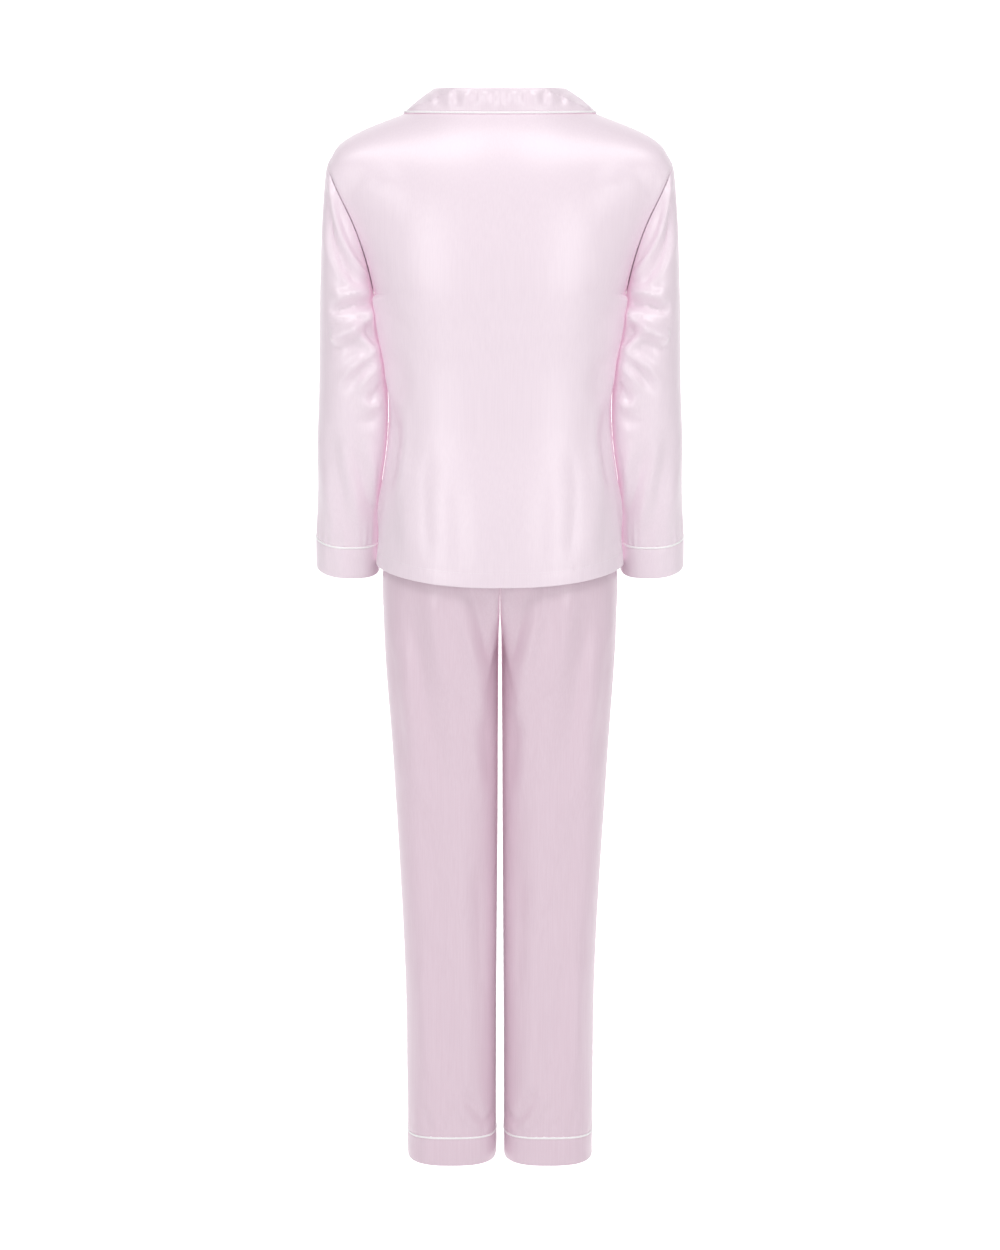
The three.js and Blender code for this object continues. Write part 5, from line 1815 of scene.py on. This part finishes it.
    def heights(self, u: Array) -> Array:
        """Heights of the rows of a panel, by column.

        Args:
            u: The columns' places.

        Returns:
            Heights, from the waist seam down to the piped seam.
        """
        waist = np.array([0, 0.8, 2, 4]) / (self.waist_seam_z - self.seat_z)
        hip = np.concatenate([waist, np.linspace(0.04, 1, self.hip_rows, endpoint=False)])
        seat = mix(self.waist_seam_z, self.seat_z, hip)
        turn = (1 - np.linspace(0, 1, 44, endpoint=False)) ** 1.6
        under = mix(self.crotch_z, self.seat_z, turn)
        leg = np.concatenate([
            np.linspace(0, 0.985, self.leg_rows), [0.991, 0.9955, 0.9985, 1],
        ])
        end = self.seam(u)[:, None] + PIPING_RADIUS + SEAM_GAP
        upper = np.concatenate([seat, under])[None]
        return np.concatenate([
            np.broadcast_to(upper, (len(u), upper.shape[1])), mix(self.crotch_z, end, leg[None]),
        ], axis=1)

    def panel_grid(self, hand: Hand, face: Face) -> tuple[Array, Array]:
        """One panel with its folds and seams and the gathers under the waist."""
        u = (0 if face is Face.BACK else 0.5) + 0.5 * spread(self.columns, 165)
        z = self.heights(u)
        u = np.broadcast_to(u[:, None], z.shape)
        surface = lambda a, b: self.surface(hand, np.where(b > self.crotch_z, np.clip(a, 0, 1), a), b)
        at = surface(u, z)
        out = normal_of(surface, u, z, hand, 0.02)
        middle = (z > self.crotch_z + 4) & ((u < 1e-9) | (u > 1 - 1e-9))
        out[middle, 0] = 0
        out = unit(out)
        depth = creased(at, out, self.creases)
        depth = depth + Sewn(True, True, True, True).depth(at)
        # Gathers under the waist
        round_ = lengths(at, 0)
        gather = uneven(round_, 1.55, 1.8, 17, hand)
        hang = 1 - smooth(z, -560, self.waist_seam_z)
        depth = depth + 1.3 * gather * (1 - hang) * (1 - np.exp(-(self.waist_seam_z - z) / 5))
        # Puckers over the hem band
        tuck = uneven(round_, 2.6, 2.1, 19, 2 * hand)
        low = np.exp(-np.maximum(z - self.leg_seam_z, 0) / 16)
        depth = depth + 0.3 * tuck * low
        # Cloth is never quite even between its folds
        soft = np.sin(at[..., 0] / 19 + z / 260 + np.sin(z / 150)) * np.cos(at[..., 0] / 47 + z / 330)
        depth = depth + 0.5 * soft * (1 - smooth(z, -640, -520))
        at = at - out * depth[..., None]
        return at, facing(at, out, False)

    def band_grid(self, hand: Hand) -> tuple[Array, Array]:
        """A hem band, slightly rippled, with its lower edge turned in."""
        u = (np.arange(2 * self.columns) / (2 * self.columns))[:, None]
        top = self.seam(u) - PIPING_RADIUS - SEAM_GAP
        share = np.concatenate([[0, 0.02, 0.05], np.linspace(0.09, 0.95, 12), [0.98, 1]])[None]
        z = mix(top, self.leg_hem_z, share)
        surface = lambda a, b: self.leg_section(hand, b, a)
        at = surface(u, z)
        out = normal_of(surface, u, z, hand)
        soft = 0.5 * uneven(u * TURN, 1 / 6, 2, 1 / 3, hand)
        fine = 0.14 * uneven(u * TURN, 1 / 35, 2, 1 / 4)
        depth = band_depth(share, self.leg_seam_z - self.leg_hem_z, soft, fine)
        at = at - out * depth[..., None]
        return at, facing(at, out, True)

    def waistband(self) -> None:
        """Make the elastic waist, its casing gathered into small pleats."""
        around = (np.arange(720) / 720)[:, None]
        share = np.linspace(0, 1, 14)[None]
        z = mix(self.waist_seam_z + SEAM_GAP, self.waist_top_z, share)

        def surface(a: Array, b: Array) -> Array:
            side, back, front = np.moveaxis(self.hip_sections.at(b), -1, 0)
            across, deep = np.sin(a * TURN), np.cos(a * TURN)
            rounding = 2 / self.hip_squareness
            return vectors(
                side * power(across, rounding),
                -np.where(deep > 0, back, front) * power(deep, rounding), b,
            )

        at = surface(around, z)
        away = unit(at * np.array([1, 1, 0]))
        out = facing(at, away, True)
        pleat = uneven(around * TURN, 1 / 74, 1.6, 1 / 9)
        swell = np.sin(share * math.pi) ** 0.5
        stitch = np.exp(-(((share - 0.5) * 35 / 1.4) ** 2))
        at = at + out * (0.6 + 0.8 * pleat * swell - 0.5 * stitch)[..., None]
        piece = cloth("waistband_satin", at, facing(at, out, True), 2.6, closed=True)
        dress(piece, Finish.TROUSERS, "trouser_satin", "waistband")

    def build(self) -> None:
        """Make the panels, bands, piping and waist."""
        for hand in Hand:
            for face in Face:
                name = f"trouser_{face.name.lower()}_{hand.word}"
                at, out = self.panel_grid(hand, face)
                piece = cloth(name + "_satin", at, out, self.thick)
                dress(piece, Finish.TROUSERS, "trouser_satin", name)
                cut = self.panel_cut
                cut_area(cut, 0.83)
            at, out = self.band_grid(hand)
            piece = cloth(f"hem_band_{hand.word}_satin", at, out, self.band_thick, closed=True)
            dress(piece, Finish.TROUSERS, "trouser_satin", f"hem_band_{hand.word}")
            surface = lambda a, b: self.leg_section(hand, b, a)
            u = np.arange(4 * self.columns) / (4 * self.columns)
            out = normal_of(surface, u, self.seam(u), hand)
            path = surface(u, self.seam(u)) - out * 0.5
            piping = cord(f"hem_{hand.word}_seam_piping", path, out, PIPING_RADIUS, closed=True)
            dress(piping, Finish.PIPING, "piping", f"hem_piping_{hand.word}")
        self.waistband()


# The studio


@dataclass(frozen=True)
class SoftBox:
    """A lamp with a broad white front, one for each side of the set. Sizes are in metres."""

    name: str
    at: tuple[float, float, float]  # of the right one
    aim: tuple[float, float, float]
    size: tuple[float, float]
    watts: float

    def hang(self, side: int, word: str) -> None:
        """Hang the lamp of one side, out of the camera's sight.

        Args:
            side: Sign of the side's X.
            word: The side's name.
        """
        name = f"{self.name}_{word}"
        light = bpy.data.lights.new(name, "AREA")
        light.shape = "RECTANGLE"
        light.size, light.size_y = self.size
        light.energy = self.watts
        lamp = bpy.data.objects.new(name, light)
        lamp.visible_camera = False
        at = Vector((side * self.at[0], *self.at[1:]))
        lamp.location = at
        lamp.rotation_euler = (Vector(self.aim) - at).to_track_quat("-Z", "Y").to_euler()
        bpy.context.scene.collection.objects.link(lamp)


@dataclass
class Studio:
    """White paper, soft lamps and the camera. Sizes here are in metres."""

    floor_z: float = -1.62
    wall_y: float = 3.0
    bend: float = 1.5  # radius of the paper's curve from floor to wall
    paper: float = 14.0
    lamps: tuple[SoftBox, ...] = (
        SoftBox("high_strip", (1.3, -2.1, 2.5), (0, 0, -0.4), (2.4, 1.0), 27),
        SoftBox("softbox", (2.2, -3.6, 0.1), (0, 0, -0.8), (1.6, 2.4), 22.6),
    )
    camera_at: tuple[float, float, float] = (0, -4.0, -0.05)
    target: tuple[float, float, float] = (0, 0, -0.7)
    lens: float = 85.8
    sky: float = 0.45

    def build(self) -> None:
        """Make the paper, the lamps, the sky and the camera."""
        half, bend = self.paper / 2, self.bend
        turn = np.linspace(0, math.pi / 2, 13)
        depth = np.concatenate([[-half], self.wall_y - bend + bend * np.sin(turn), [self.wall_y]])
        height = np.concatenate([
            [self.floor_z], self.floor_z + bend - bend * np.cos(turn), [self.floor_z + half],
        ])
        across = np.linspace(-half, half, 3)[:, None]
        at = vectors(across, depth[None], height[None]) / MM
        faces = [grid_faces(*at.shape[:2], False)]
        paper = make_object("studio_paper", at.reshape(-1, 3), faces)
        paper.data.materials.append(Finish.PAPER.material())
        for side, word in ((-1, "left"), (1, "right")):
            for lamp in self.lamps:
                lamp.hang(side, word)
        world = bpy.data.worlds.new("studio_light")
        bpy.context.scene.world = world
        world.use_nodes = True
        world.node_tree.nodes.clear()
        light = add_node(world.node_tree, "ShaderNodeBackground", {}, {
            "Color": linear("#ffffff"), "Strength": self.sky,
        })
        add_node(world.node_tree, "ShaderNodeOutputWorld", {}, {"Surface": light.outputs[0]})
        camera = bpy.data.objects.new("camera", bpy.data.cameras.new("camera"))
        camera.data.lens = self.lens
        camera.data.clip_end = 40
        camera.location = self.camera_at
        aim = Vector(self.target) - Vector(self.camera_at)
        camera.rotation_euler = aim.to_track_quat("-Z", "Y").to_euler()
        bpy.context.scene.collection.objects.link(camera)
        bpy.context.scene.camera = camera
        bpy.context.scene.view_settings.view_transform = "Standard"


def main() -> None:
    """Build the set and its studio."""
    form = ShirtForm()
    for part in (ShirtBody(form), Collar(form), Lapels(form), Sleeves(form), Buttons(form), Trousers()):
        part.build()
        LOG.info("%s is made", type(part).__name__)
    Studio().build()


if __name__ == "__main__":
    main()
